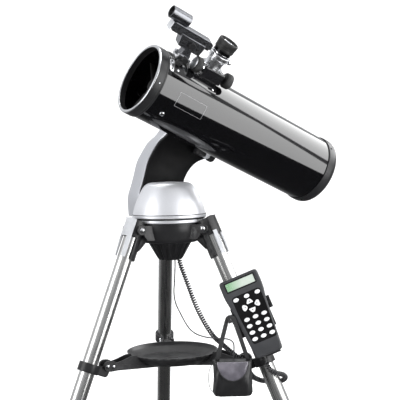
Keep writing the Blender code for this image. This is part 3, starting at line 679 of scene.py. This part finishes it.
piece("arm_body", "azimuth_arm", SILVER_ARM_PAINTED_SHADE, bulged(arm_line, [(26.3, 0.5), (27, 0), (60, 0), (70, 0.5),
    (75, 2), (78, 4.4), (79.6, 7.5), (80, 10)]), MOUNT, stands="arm_shell", slot="silver_shell", smooth=50)
piece("arm_face", "azimuth_arm", BLACK_SOFT, bulged(arm_line, [(20.0, 3.2), (20.5, 2.4), (21.2, 2.0),
    (26.1, 2.0)]), MOUNT, stands="arm_cover", slot="black_plastic", smooth=50)
boss = lathe([(0, 80.8), (21, 80.8, 1.5), (24, 79.6, 1), (25.5, 78)], 72)
piece("axle_cap", "azimuth_arm", BLACK, shifted(boss, turn=(-90, 0, 0)), MOUNT @ place(AXLE), smooth=40)

# ---- altitude saddle
keep("saddle", BLACK, 0.7)
keep("dovetail", ANODISED, 0.5)
CLAMP = ALT @ place((8, 0, -49), (0, 90, 0))
piece("saddle_screw", "saddle_knob", BLACK, merged(lathe([(0, 9), (6, 9), (6, 11.5), (0, 11.5)], 48),
    grip(18, [(11.0, 0.3, 10.2), (12.4, 0.8, 11.8), (12.4, 0.8, 20.6), (10.6, 0.3, 22.8), (9.6, 0.1, 23.3)])),
    CLAMP, stands="saddle_knob", slot="black_plastic", smooth=50)
piece("saddle_stem", "saddle_knob", SILVER, lathe([(0, 0.3), (9.8, 0.3, 0.5), (9.8, 10.3, 0.5), (0, 10.3)],
    48), CLAMP, smooth=40)
piece("saddle_bush", "saddle", BRIGHT_METAL, lathe([(0, -3.5), (9.2, -3.5, 0.6), (9.2, 0.1, 0.2), (0, 0.1)],
    40), CLAMP)

# ---- optical tube
ALONG = TUBE @ place(turn=(0, 90, 0))
outer = to_mesh("tube_barrel", lathe([(67.3, -213.8), (68.5, -213.8, 0.3), (68.5, -213), (68.5, 213),
    (68.5, 213.8, 0.3), (67.3, 213.8)], 160, True), ALONG)
carve(outer, to_mesh("cutter", lathe([(0, 40), (20, 40), (20, 90), (0, 90)], 48), SIDE))
dress(outer, "tube_assembly", TUBE_PAINT, stands="tube", slot="gloss_black_paint", smooth=30)
optic("front_band", BLACK, lathe([(68.8, -206), (69.9, -206, 0.4), (70.5, -207.5, 0.6), (70.5, -209, 0.3),
    (70.1, -209.4), (70.1, -211), (70.6, -211.4, 0.3), (70.6, -224.6, 0.8), (69.2, -226.6, 0.5),
    (66.6, -226.8), (66.2, -225.5), (64.6, -225.5, 0.3), (64.6, -214.3), (68.8, -214.3)], 160, True), ALONG,
    stands="front_ring", slot="black_plastic", smooth=32)
optic("front_lip", RIM, lathe([(64.7, -225.2), (64.7, -227, 0.6), (69.0, -227.3, 0.8), (70.3, -225.6, 0.6),
    (70.3, -224.9), (66, -224.9)], 160, True), ALONG)
cell = lathe([(68.8, 204), (70.2, 204, 0.4), (70.8, 205.4, 0.5), (70.8, 219, 5), (68, 226.6, 4), (61, 229, 2),
    (57, 229, 1), (55.6, 227.6, 0.6), (0, 227.6), (0, 223), (62, 223), (62, 214.3), (68.8, 214.3)], 160,
    corner=5)
optic("cell_cap", BLACK, cell, ALONG, stands="rear_cell", slot="black_plastic", smooth=30)
# The cell's six screws, by turns: knobs that collimate and socket screws that lock
KNOB_SCREW = [(0, 0), (6.8, 0), (6.8, 5.4, 1), (5.6, 6.4, 0.5), (0, 6.4)]
SOCKET_SCREW = [(0, 0), (5.4, 0), (5.4, 3.6, 0.6), (4.8, 4.2, 0.3), (2.2, 4.2), (2.2, 2.6), (0, 2.6)]
SCREW_CIRCLE, CELL_BACK = 44, 227.3
screw_turns = [tau * k / 6 + 0.4 for k in range(6)]
optic("cell_screws", GREY_METAL, merged(*[shifted(lathe(SOCKET_SCREW if k % 2 else KNOB_SCREW, 30),
    (SCREW_CIRCLE * cos(a), SCREW_CIRCLE * sin(a), CELL_BACK)) for k, a in enumerate(screw_turns)]), ALONG,
    smooth=30)
optic("main_mirror", MIRROR, lathe([(0, 207), (57, 207, 0.5), (57, 198.2, 0.6), (50, 197.5), (40, 196.7),
    (30, 196.1), (20, 195.7), (10, 195.45), (0, 195.4)], 96), ALONG, stands="primary_mirror",
    slot="mirror_glass", smooth=25)
keep("spider", FLAT_BLACK, 0.2)
keep("secondary_mirror", MIRROR)


TUBE_SKIN, END_SKIN = 68.5, 70.6


def on_tube(x, around, radius):
    """A frame on the skin, around degrees from the tube's top. Z points out."""
    return TUBE @ place((x, 0, 0), (around, 0, 0)) @ place((0, 0, radius))


def screw_head(wide, tall):
    """A low dome."""
    profile = [(0, tall), (wide * 0.5, tall * 0.93), (wide * 0.85, tall * 0.6), (wide, 0.2), (wide, 0),
        (0, 0)]
    return lathe(profile, 28)


for name, x, around, wide, tall, material in (("vane_nut_low", -177, 141.6, 5.2, 3.0, RIM),
        ("vane_nut_side", -177, 51.6, 4.2, 2.4, ANODISED), ("vane_nut_back", -177, 321.6, 5.2, 3.0, RIM),
        ("vane_nut_under", -177, 231.6, 5.2, 3.0, RIM), ("cell_screw_a", 211, 51, 2.6, 1.4, ANODISED),
        ("cell_screw_b", 211, 171, 2.6, 1.4, ANODISED), ("cell_screw_c", 211, 291, 2.6, 1.4, ANODISED),
        ("ring_screw_a", -216, 100, 1.8, 1.0, RIM), ("ring_screw_b", -216, 220, 1.8, 1.0, RIM),
        ("ring_screw_c", -216, 340, 1.8, 1.0, RIM)):
    skin = END_SKIN if abs(x) > 205 else TUBE_SKIN
    optic(name, material, screw_head(wide, tall), on_tube(x, around, skin), smooth=50)

# A plain plate outline printed on the tube, with nothing written in it
line = bmesh.new()
for x0, x1, a0, a1 in ((-168, -106, 96, 96.35), (-168, -106, 119.25, 119.6), (-168, -167.55, 96, 119.6),
        (-106.45, -106, 96, 119.6)):
    curved_bar(line, [on_curve(x0, x1, 68.4, 68.6, radians(a0 + (a1 - a0) * k / 8)) for k in range(9)])
optic("plate_outline", PRINT, line, TUBE)

# ---- focuser and eyepiece
keep("focuser_body", BLACK_GLOSS, 0.8)
optic("focuser_collar", CHROME, lathe([(17.6, 90), (17.6, 92.4, 0.4), (22.5, 92.4, 0.8), (25.2, 90.6, 0.6),
    (25.2, 84, 0.4), (24.9, 83.6), (24.9, 90)], 96, True), SIDE)
# Four screws hold the focuser's foot to the tube, and four its cover over the pinion
foot_screws = [shifted(shifted(lathe([(0, 1.6), (2.6, 1.4, 0.4), (2.6, 0), (0, 0)], 24), (0, 0, 71.5)),
    (x, 0, 0), (degrees(atan2(-y, 60.5)), 0, 0)) for x in (-70, 12) for y in (-38, 38)]
cover_screws = [shifted(lathe([(0, 1.4), (1.9, 1.2, 0.3), (1.9, 0), (0, 0)], 20), (x, y, 92.8)) for x in (-19,
    13) for y in (-27.5, -17.5)]
optic("focuser_screws", CHROME, merged(*foot_screws, *cover_screws), SIDE)
PINION = SIDE @ place((0, -22.5, 85), (0, 90, 0))
optic("pinion_bushes", CHROME, merged(lathe([(2.6, -27.6), (6.4, -27.6, 0.5), (6.4, -23.4), (2.6, -23.4)], 40,
    True), lathe([(2.6, 17.6), (6.4, 17.6), (6.4, 21.6, 0.5), (2.6, 21.6)], 40, True)), PINION)
piece("drawtube_shell", "drawtube", BRIGHT_METAL, lathe([(15.9, 63.1), (17, 63.1, 0.3), (17, 105.6),
    (18.6, 106.4, 0.4), (19.5, 107.4, 0.5), (19.5, 109.2, 0.3), (18.9, 109.6), (18.9, 110.3),
    (19.5, 110.7, 0.3), (19.5, 117.4, 0.6), (18.8, 118.1), (15.9, 118.1)], 96, True), SIDE, stands="drawtube",
    slot="grey_alloy", smooth=35)
wheels = merged(grip(36, [(12.6, 0.2, -45), (14.2, 0.5, -44.2), (15, 0.8, -42.6), (15, 0.8, -33),
    (13.4, 0.3, -31)], 4), grip(36, [(13.4, 0.3, 27), (15, 0.8, 29), (15, 0.8, 38.4), (14.2, 0.5, 40.2),
    (12.6, 0.2, 41)], 4), lathe([(0, -31.5), (2.2, -31.5), (2.2, 27.5), (0, 27.5)], 28))
piece("focus_wheels", "focus_knobs", RUBBER, wheels, PINION, stands="focus_knobs", slot="black_plastic",
    smooth=45)
piece("focus_caps", "focus_knobs", BRIGHT_METAL, merged(*[lathe([(0, z + 0.8 * way), (4, z + 1.2 * way),
    (4.6, z + 1.8 * way, 0.3), (9.5, z + 1.8 * way, 0.5), (12.3, z + 1.1 * way, 0.5), (12.3, z), (0, z)],
    48) for z, way in ((-44.8, -1), (40.8, 1))]), PINION)
piece("barrel_screw", "eyepiece_screw", RIM, merged(lathe([(0, 19.9), (2.5, 19.9), (2.5, 22.2), (0, 22.2)],
    28), grip(16, [(4.2, 0.1, 22), (5, 0.5, 22.8), (5, 0.5, 28.2), (4, 0.1, 29.3)], 4)),
    SIDE @ place((0, 0, 112.5), (0, 90, 0)), stands="eyepiece_screw", slot="grey_alloy", smooth=45)
piece("ocular_body", "eyepiece", ANODISED, lathe([(0, 90.5), (13.6, 90.5), (13.8, 90), (15.5, 90, 0.3),
    (15.5, 118.4), (17.4, 118.4, 0.4), (18, 119.4, 0.4), (18, 128.7), (17.9, 133, 1), (16.2, 135.2, 0.6),
    (16.2, 141, 0.4), (13.4, 141, 0.5), (12.2, 138.4, 0.5), (0, 138.4)], 96), SIDE, stands="eyepiece",
    slot="black_alloy", smooth=32)
piece("ocular_band", "eyepiece", CHROME, lathe([(17.6, 119.9), (18.35, 119.9, 0.3), (18.35, 122.4, 0.3),
    (17.6, 122.4)], 96, True), SIDE)
piece("ocular_lens", "eyepiece", EYE_LENS_PAINTED_REFLECTION, lathe([(0, 141.4), (12.4, 141.4), (12.4, 143.7, 0.2), (10, 144.9),
    (6, 145.9), (3, 146.3), (0, 146.4)], 72), SIDE, smooth=60)
piece("ocular_lip", "eyepiece", RIM, lathe([(12.5, 141.1), (12.5, 144.2, 0.2), (13.6, 144.6, 0.3),
    (14.6, 143.6, 0.3), (14.6, 141.1)], 72, True), SIDE)
piece("ocular_cup", "eyepiece", RUBBER, lathe([(18.3, 129), (19.5, 129, 0.5), (19.8, 133), (19.3, 134.4, 0.4),
    (20, 136), (19.5, 138, 0.4), (20.3, 140), (20.5, 146.4, 1), (19.4, 148.8, 0.8), (17.6, 149, 0.6),
    (16.4, 141.7, 0.4), (18.2, 134)], 96, True), SIDE, stands="eyecup", slot="black_rubber", smooth=45)

# ---- finder
keep("finder_shoe", BRIGHT_METAL, 0.6)
PLATE_SKIN = 70.4
plate = bmesh.new()
trims = [3.0, 0.8] + [0] * 9 + [0.8, 3.0]
curved_bar(plate, [on_curve(-205 + short, -171 - short, 68.4, PLATE_SKIN,
    radians(49 + 24 * k / 12)) for k, short in enumerate(trims)])
optic("shoe_plate", BRIGHT_METAL, plate, TUBE, edge=0.5)
optic("plate_knob", BLACK, merged(grip(16, [(6.0, 0.2, 2.4), (6.6, 0.7, 3.2), (6.6, 0.7, 9), (5.8, 0.2, 10)]),
    lathe([(0, -1), (3, -1), (3, 3), (0, 3)], 24)), on_tube(-191, 56, PLATE_SKIN), smooth=45)
plate_screws = [screw_head(1.9, 1.0) for k in range(3)]
for screw, (x, around) in zip(plate_screws, ((-201, 53), (-200, 68), (-175, 68))):
    screw.transform(on_tube(x, around, PLATE_SKIN))
optic("plate_screws", BLACK, merged(*plate_screws))
body = merged(slab([(-9, 76.4, 1), (13, 76.4, 1), (12, 86, 3), (8, 97), (-6, 97), (-8, 86, 3)], -9.6, 9.6,
    "XZ"), slab([(-24, 96, 2), (24, 96, 2), (26, 119), (-30, 119)], -12, 12, "XZ"),
    slab([(-55, 117, 1), (-55, 129, 2), (-52, 131.5, 2), (30, 131.5, 2), (37, 128, 3), (37, 117, 1)], -11, 11,
    "XZ"), slab([(-50, 130.5), (-30, 130.5), (-33, 136), (-47, 136)], -6, 6, "XZ"))
optic("sight_body", GREY_METAL, body, FINDER, stands="finder_body", slot="grey_alloy", edge=0.8, smooth=30)
SIGHT_AXIS = (0, 0, 142), (0, 90, 0)
optic("sight_tube", GREY_METAL, shifted(lathe([(10.4, -67.2), (10.8, -68, 0.2), (11.7, -68, 0.3),
    (12, -67.3, 0.2), (12, -66.6), (12, -28.2), (12, -27.4, 0.4), (11.4, -27), (10.4, -27)], 72, True),
    *SIGHT_AXIS), FINDER)
optic("sight_lining", FLAT_BLACK, shifted(lathe([(10.1, -66.8), (10.5, -66.8), (10.5, -27.2), (10.1, -27.2)],
    64, True), *SIGHT_AXIS), FINDER)
optic("sight_glass", FINDER_LENS, shifted(lathe([(0, -42.6), (5, -42.4), (10.1, -41.9), (10.1, -40.2),
    (0, -40)], 48), *SIGHT_AXIS), FINDER, stands="finder_lens", slot="lens_glass", smooth=60)
optic("sight_plate", GREY_COVER, slab([(-56.1, 112), (-54.8, 112), (-54.8, 130), (-56.1, 130, 1)], -10.6,
    10.6, "XZ"), FINDER, edge=0.5)
optic("sight_underside", BLACK, slab([(-50, 113.5, 1), (34, 113.5, 2), (34, 118), (-50, 118)], -10.2, 10.2,
    "XZ"), FINDER, edge=0.5)
optic("sight_screws", BLACK, merged(*[screw for at in ((-40, 11, 124), (-18, 12, 105), (14, 12, 106),
    (20, 11, 124)) for screw in facing_out([(0, 0.9), (2.6, 0.7, 0.2), (2.6, -0.5), (0, -0.5)], 24, at)]),
    FINDER)
piece("sight_dial", "finder_dial", BLACK, grip(14, [(7, 0.6, 0.1), (7, 0.6, 4.4), (6.2, 0.2, 5)]),
    FINDER @ place((0, -12.3, 108), (90, 0, 0)), stands="finder_dial", slot="black_plastic", smooth=45)
optic("shoe_screw", BLACK, merged(grip(14, [(6.4, 0.3, 2), (7.2, 0.9, 3), (7.2, 0.9, 10), (6.2, 0.3, 11)]),
    lathe([(0, 0), (2.5, 0), (2.5, 2.4), (0, 2.4)], 24)), FINDER @ place((0, -15, 79), (90, 0, 0)), smooth=45)

# ---- handset
HALF = 13.5     # half the case's thickness, so its face's height
CASE = [(24, -80, 5), (27.5, -76, 4), (31, -30, 12), (35.5, 22, 12), (39.5, 46, 8), (39.5, 76, 5),
    (36, 80, 4)]
case_line = rounded(CASE + [(-x, y, r) for x, y, r in CASE[::-1]], True, 5)


def drawn_in(points, by):
    """Each point moved towards both axes by a distance."""
    return [(x - by * copysign(1, x), y - by * copysign(1, y)) for x, y in points]


def oval(rx, ry, z, centre):
    turns = [tau * i / 28 for i in range(28)]
    return [(centre[0] + rx * cos(a), centre[1] + ry * sin(a), z) for a in turns]


def key_cap(centre, rx, ry, low, high):
    """A domed key with a soft shoulder."""
    return loft([oval(rx, ry, low, centre), oval(rx, ry, high - 1.0, centre),
        oval(rx - 0.25, ry - 0.25, high - 0.4, centre), oval(rx - 0.8, ry - 0.8, high - 0.08, centre),
        oval(rx * 0.5, ry * 0.5, high, centre)])


# The down and right keys are the up and left keys turned by half a turn
UP = [(-7.2, -3.8, 2.6), (7.2, -3.8, 2.6), (3.0, 4.8, 3), (-3.0, 4.8, 3)]
LEFT = [(4.6, -1.2, 1.4), (4.6, 1.2, 1.4), (-0.4, 6.4, 3), (-5.4, 5.4, 4), (-5.4, -5.4, 4), (-0.4, -6.4, 3)]
PETALS = {name: (spot, [(x * way, y * way, r) for x, y, r in shape]) for name, spot, shape, way in (("up",
    (2.8, 26.6), UP, 1), ("down", (2.8, 9.4), UP, -1), ("left", (-9.2, 18), LEFT, 1),
    ("right", (14.8, 18), LEFT, -1))}


def petal(points, grow, z, centre=(0, 0)):
    """A direction key's outline, grown by a factor, at a height."""
    return [(centre[0] + x * grow, centre[1] + y * grow, z) for x, y in rounded(points, True, 5)]


def key_holes():
    """Cutters for the four direction keys."""
    return [to_mesh("cutter", loft([petal(shape, 1.07, HALF - 3.2, spot),
        petal(shape, 1.07, HALF + 4, spot)]), HAND) for spot, shape in PETALS.values()]


case = to_mesh("handset_shell", loft([[(x, y, z) for x, y in drawn_in(case_line, by)] for z, by in ((-13.5,
    5), (-13.2, 3.6), (-11.6, 1.6), (-9, 0.3), (-7, 0), (-1.4, 0), (-1.2, 0.45), (-0.6, 0.45), (-0.4, 0),
    (9.4, 0), (11.4, 0.5), (12.7, 1.5), (13.3, 2.7), (13.5, 4.2))]), HAND)
window = to_mesh("cutter", slab([(-31.3, 54.7, 2), (31.3, 54.7, 2), (31.3, 75.3, 2), (-31.3, 75.3, 2)],
    HALF - 2, HALF + 4), HAND)
carve(case, window, *key_holes())
dress(case, "tripod", CASE_PLASTIC, stands="handset_case", slot="black_plastic", smooth=42)
PAD = [(-21.5, -52.5, 5), (27.2, -52.5, 5), (31, 12, 8), (31, 44.5, 6), (-27, 44.5, 6), (-27, 12, 8)]
pad = to_mesh("keypad_sheet", slab(PAD, HALF - 1.5, HALF + 0.25), HAND)
carve(pad, *key_holes())
dress(pad, "tripod", BLACK_SOFT, stands="keypad", slot="black_rubber", edge=0.25, smooth=42)
OVALS = [(2.6 + 17.6 * (k % 3 - 1), -4.2 - 13.1 * (k // 3)) for k in range(12)] + [(-20, 37.8), (2, 37.8),
    (24, 37.8)]
caps = [key_cap(spot, 5.5, 3.7, HALF, HALF + 1.9) for spot in OVALS]
fixed("number_keys", KEY, merged(*caps), HAND, smooth=60)
for name, (spot, shape) in PETALS.items():
    at = HAND @ place((spot[0], spot[1], HALF))
    piece("arrow_" + name, "key_" + name, KEY, loft([petal(shape, 1, -1.4), petal(shape, 1, 1.0),
        petal(shape, 0.95, 1.6), petal(shape, 0.84, 1.92), petal(shape, 0.5, 2.0)]), at, stands="key_" + name,
        slot="key_grey", smooth=60)
    piece("arrow_dot_" + name, "key_" + name, FLAT_BLACK, lathe([(0, 1.7), (1.1, 1.7), (1.1, 2.12, 0.1),
        (0, 2.15)], 20), at)

screen = Nodes("display", (0.50, 0.56, 0.50), 0.22)
screen.set(Coat_Weight=0.5, Coat_Roughness=0.05)
split = screen.add("SeparateXYZ")
screen.link(screen.place, split.inputs[0])
left_end, right_end = [(HAND @ Vector((x, 65, 0))).x * MM for x in (-31, 31)]
wide = right_end - left_end
# Painted light: the screen is drawn darker green at its left end and paler towards its right end
screen.tint(split.outputs["X"], (0.17, 0.36, 0.18), left_end + 0.55 * wide, left_end + 0.1 * wide)
screen.tint(screen.noise(900, 1.0), (0.44, 0.50, 0.44), 0.45, 0.8)
fixed("display_window", screen.mat, slab([(-28.5, 57.4, 0.8), (28.5, 57.4, 0.8), (28.5, 72.6, 0.8),
    (-28.5, 72.6, 0.8)], HALF - 1.8, HALF - 0.5), HAND, stands="handset_screen", slot="screen", edge=0.15)
fixed("display_frame", BLACK_GLOSS, merged(*[block((x0, y0, HALF - 1.9),
    (x1, y1, HALF - 0.1)) for x0, y0, x1, y1 in ((-31, 55, 31, 57.5), (-31, 72.5, 31, 75),
    (-31, 57.4, -28.4, 72.6), (28.4, 57.4, 31, 72.6))]), HAND, edge=0.2)
keep("handset_holder", BLACK, 0.6)

# ---- pouch
VINYL = Nodes("pouch_vinyl", (0.012, 0.012, 0.013), 0.38)
VINYL.roughness(VINYL.noise(60), 0.1)
cells = VINYL.add("TexVoronoi", Scale=900.0)
VINYL.link(VINYL.place, cells.inputs["Vector"])
VINYL.bump(cells.outputs["Distance"], 0.00012, 0.6)
VINYL.bump(VINYL.noise(70, 3.0), 0.0006, 0.5)
VINYL.edges((0.06, 0.06, 0.06))
WEB = Nodes("strap_web", (0.014, 0.014, 0.015), 0.8)
weave = WEB.add("TexWave", Scale=420.0, Distortion=0.6)
WEB.link(WEB.place, weave.inputs["Vector"])
WEB.bump(weave.outputs["Fac"], 0.0002, 0.8)
WEB.tint(weave.outputs["Fac"], (0.04, 0.04, 0.042), 0.2, 0.9)
FLAP = Nodes("pouch_flap", (0.085, 0.08, 0.095), 0.2)
FLAP.set(Coat_Weight=0.6, Coat_Roughness=0.08)
FLAP.roughness(FLAP.noise(80), 0.06)
FLAP.bump(FLAP.noise(55, 2.0), 0.0009, 0.7)
FLAP.tint(FLAP.noise(40), (0.16, 0.15, 0.175), 0.4, 0.7)
low, high = (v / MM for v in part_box("pouch"))


def bag_ring(t, steps=64):
    """A level ring of the bag. t runs from 0 at its base to 1 at its mouth."""
    swell = 1.0 - 0.05 * t - 0.03 * sin(pi * t)
    round_in = min(1, 0.86 + 1.6 * t) if t < 0.09 else 1
    mid, half = (low + high) / 2, (high - low) / 2
    deep = half.y * (0.62 + 0.36 * sin(pi * (0.18 + 0.62 * (1 - t)))) * (round_in ** 0.6)
    wide = half.x * swell * round_in ** 0.25
    ring = []
    for i in range(steps):
        a = tau * i / steps
        c, s = cos(a), sin(a)
        x = wide * copysign(abs(c) ** 0.42, c)
        y = deep * copysign(abs(s) ** 0.6, s)
        sag = 1.5 * sin(5 * a + 3 * t) * sin(pi * t) + 1.1 * sin(9 * a - 8 * t)
        ring.append((mid.x + x * (1 + sag * 0.008), mid.y + y * (1 + sag * 0.03),
            low.z + (high.z - low.z) * t + 1.2 * cos(2 * a) * (1 - t) * t * 2))
    return ring


def around_bag(t, grow, height=0.0):
    """A level ring of the bag, grown by a factor and lifted."""
    mid = (low + high) / 2
    return [(mid.x + (x - mid.x) * grow, mid.y + (y - mid.y) * grow, z + height) for x, y, z in bag_ring(t)]


heights = [0.0, 0.015, 0.05, 0.1, 0.18] + [0.18 + 0.82 * k / 14 for k in range(1, 15)]
bag = loft([around_bag(t,
    g) for t, g in [(0.0, 0.82)] + [(t, min(1, 0.93 + t * 1.4)) for t in heights]] + [around_bag(1, 0.97,
    0.4), around_bag(1, 0.9, 0.2)])
sack = fixed("pouch_sack", VINYL.mat, bag, stands="pouch", slot="black_vinyl", smooth=60)


def bag_front(u, v):
    """A point on the bag's front skin: u across from -1 to 1, v down from the mouth, 0 to 1."""
    mid, size = (low + high) / 2, high - low
    front = sorted(p for p in bag_ring(1 - v, 96) if p[1] < mid.y - 0.1 * size.y)
    x = mid.x + u * size.x / 2 * 0.86
    for p, q in zip(front, front[1:]):
        if p[0] <= x <= q[0]:
            return Vector(p).lerp(Vector(q), (x - p[0]) / max(1e-6, q[0] - p[0]))
    return Vector(front[0] if x < front[0][0] else front[-1])


def flap_reach(u):
    """How far down the bag the flap's round edge comes at u."""
    return 0.50 * sqrt(max(0, 1 - (u * 0.99) ** 2)) + 0.01


flap_mesh = bmesh.new()
grid = []
ACROSS, DOWN = 24, 12
for j in range(DOWN + 1):
    row = []
    for i in range(ACROSS + 1):
        u = 2 * i / ACROSS - 1
        p = bag_front(u * 0.9, flap_reach(u) * j / DOWN)
        lift = 1.6 + 1.2 * sin(pi * j / DOWN) + 0.5 * sin(3.2 * u + 2.0 * j / DOWN)
        row.append(flap_mesh.verts.new((p.x, p.y - lift, p.z + 0.9 * (1 - j / DOWN))))
    grid.append(row)
for a, b in zip(grid, grid[1:]):
    for i in range(ACROSS):
        flap_mesh.faces.new((a[i], a[i + 1], b[i + 1], b[i]))
flap = fixed("pouch_flap", FLAP.mat, flap_mesh, slot="black_vinyl", smooth=60)
skin = flap.modifiers.new("thick", "SOLIDIFY")
skin.thickness = 1.0 * MM
skin.offset = 0
across = [sin(pi * (k / 40 - 0.5)) for k in range(41)]
hem = [bag_front(u * 0.9, flap_reach(u)) - Vector((0, 2.0, 0)) for u in across]


def seam(name, points, radius):
    """A bound edge of the pouch."""
    binding = cord_curve(name, points, radius, WEB.mat)
    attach(binding, "tripod")


seam("flap_binding", hem, 0.9)
mouth = around_bag(1, 1.0, 0.3)
seam("mouth_binding", mouth + mouth[:1], 1.0)
for name, way in (("left", -1), ("right", 1)):
    points, middle = [], (low.x + high.x) / 2
    for t in [k / 16 for k in range(17)]:
        p = max(bag_ring(t), key=lambda q: q[0] * way)
        grow = min(1, 0.93 + t * 1.4) if t < 0.05 else 1
        points.append(((p[0] - middle) * grow + middle, p[1], p[2]))
    seam("side_seam_" + name, points, 0.9)

seam("draw_loop", smooth_route([(79.5, -119, 346), (77, -119.5, 340), (73.5, -119.5, 331), (71.6, -119, 320),
    (71.8, -118.5, 309), (73.6, -118, 299), (77, -118, 292), (82, -118.5, 290)], 2.0), 0.7)

# Strap: flat tape up from each side of the mouth and over the holder's peg
def tape(points, wide, thick):
    """A flat tape whose width lies along X, through points in mm."""
    rings = []
    for i, p in enumerate(points):
        ahead = (points[min(i + 1, len(points) - 1)] - points[max(i - 1, 0)]).normalized()
        across = Vector((0, 1, 0)).cross(ahead).normalized()
        out = ahead.cross(across).normalized()
        rings.append([p + across * (wide * a) + out * (thick * b) for a, b in ((-0.5, -0.3), (-0.47, -0.5),
            (0.47, -0.5), (0.5, -0.3), (0.5, 0.3), (0.47, 0.5), (-0.47, 0.5), (-0.5, 0.3))])
    return loft(rings)


strap_path = smooth_route([(89, -112, 345), (89.5, -117, 352), (94, -118, 370), (101, -118, 397),
    (108.5, -118, 424), (111.6, -118, 431.2), (116, -118, 432.6), (120.8, -118, 430.6), (124, -118, 423),
    (133, -118, 396), (142.5, -118, 366), (147.4, -117, 352), (148, -112, 345)], 3.0)
fixed("strap_tape", WEB.mat, tape(strap_path, 8.2, 1.5), stands="pouch_strap", slot="strap_web", smooth=40)
print("strap", round(length_of(strap_path), 3))

# ---- stage and lights
floor_mat = Nodes("floor", (0.86, 0.86, 0.86), 0.7)
floor_mat.roughness(floor_mat.noise(3), 0.05)
floor_mat.set(Emission_Color=(1, 1, 1, 1), Emission_Strength=0.22)
stage_mesh = bmesh.new()
COVE = 1.6      # the radius where the floor sweeps up into the wall
sweep = [pi / 2 * k / 16 for k in range(17)]
profile = [(-9.0, 0)] + [(2.2 + COVE * sin(a), COVE - COVE * cos(a)) for a in sweep] + [(3.8, 5.5)]
rows = [[stage_mesh.verts.new((x, y, z)) for x in (-9, 9)] for y, z in profile]
for a, b in zip(rows, rows[1:]):
    stage_mesh.faces.new((a[0], a[1], b[1], b[0]))
floor_data = bpy.data.meshes.new("floor")
stage_mesh.to_mesh(floor_data)
stage_mesh.free()
floor = bpy.data.objects.new("floor", floor_data)
scene.collection.objects.link(floor)
floor.data.materials.append(floor_mat.mat)
floor.data.shade_smooth()
floor.visible_glossy = False

# A dim room: lighter above and behind, dark in front and below
world = bpy.data.worlds.new("studio")
scene.world = world
world.use_nodes = True
sky = world.node_tree
aim = sky.nodes.new("ShaderNodeTexCoord").outputs["Generated"]
facing = sky.nodes.new("ShaderNodeVectorMath")
facing.operation = "DOT_PRODUCT"
facing.inputs[1].default_value = Vector((-0.1, 0.25, 0.96)).normalized()
fade = sky.nodes.new("ShaderNodeMapRange")
for key, value in (("From Min", -0.5), ("From Max", 0.5), ("To Min", 0.05), ("To Max", 0.75)):
    fade.inputs[key].default_value = value
sky.links.new(aim, facing.inputs[0])
sky.links.new(facing.outputs["Value"], fade.inputs["Value"])
sky.links.new(fade.outputs["Result"], sky.nodes["Background"].inputs["Strength"])
sky.nodes["Background"].inputs["Color"].default_value = (0.97, 0.98, 1.0, 1)


def lamp(name, at, aim, wide, tall, radiance):
    """A soft rectangular light that faces a point and isn't seen itself."""
    data = bpy.data.lights.new(name, "AREA")
    data.shape = "RECTANGLE"
    data.size, data.size_y, data.energy = wide, tall, radiance * pi * wide * tall
    obj = bpy.data.objects.new(name, data)
    scene.collection.objects.link(obj)
    obj.location = at
    obj.rotation_euler = (Vector(aim) - Vector(at)).to_track_quat("-Z", "Y").to_euler()
    obj.visible_camera = False


# The side and back panels stand where the tube mirrors them as its two long bands
lamp("side_panel", (1.346, -0.654, 0.785), (1.016, 0.290, 0.785), 1.335, 1.25, 4.6)
lamp("back_panel", (1.827, 0.795, 1.87), (0.0, 0.0232, 1.87), 2.28, 1.45, 5.0)
lamp("left_panel", (-1.7, -1.05, 1.1), (0.0, 0.0, 0.7), 1.2, 1.7, 3.3)
lamp("top_panel", (0.0, -0.2, 2.7), (0.0, 0.0, 0.6), 1.6, 1.2, 3.0)
lamp("wall_wash", (0.0, 0.9, 3.2), (0.0, 3.4, 0.9), 3.0, 0.6, 9.0)

scene.view_settings.view_transform = "Standard"
scene.view_settings.look = "None"
scene.view_settings.exposure = 0.0
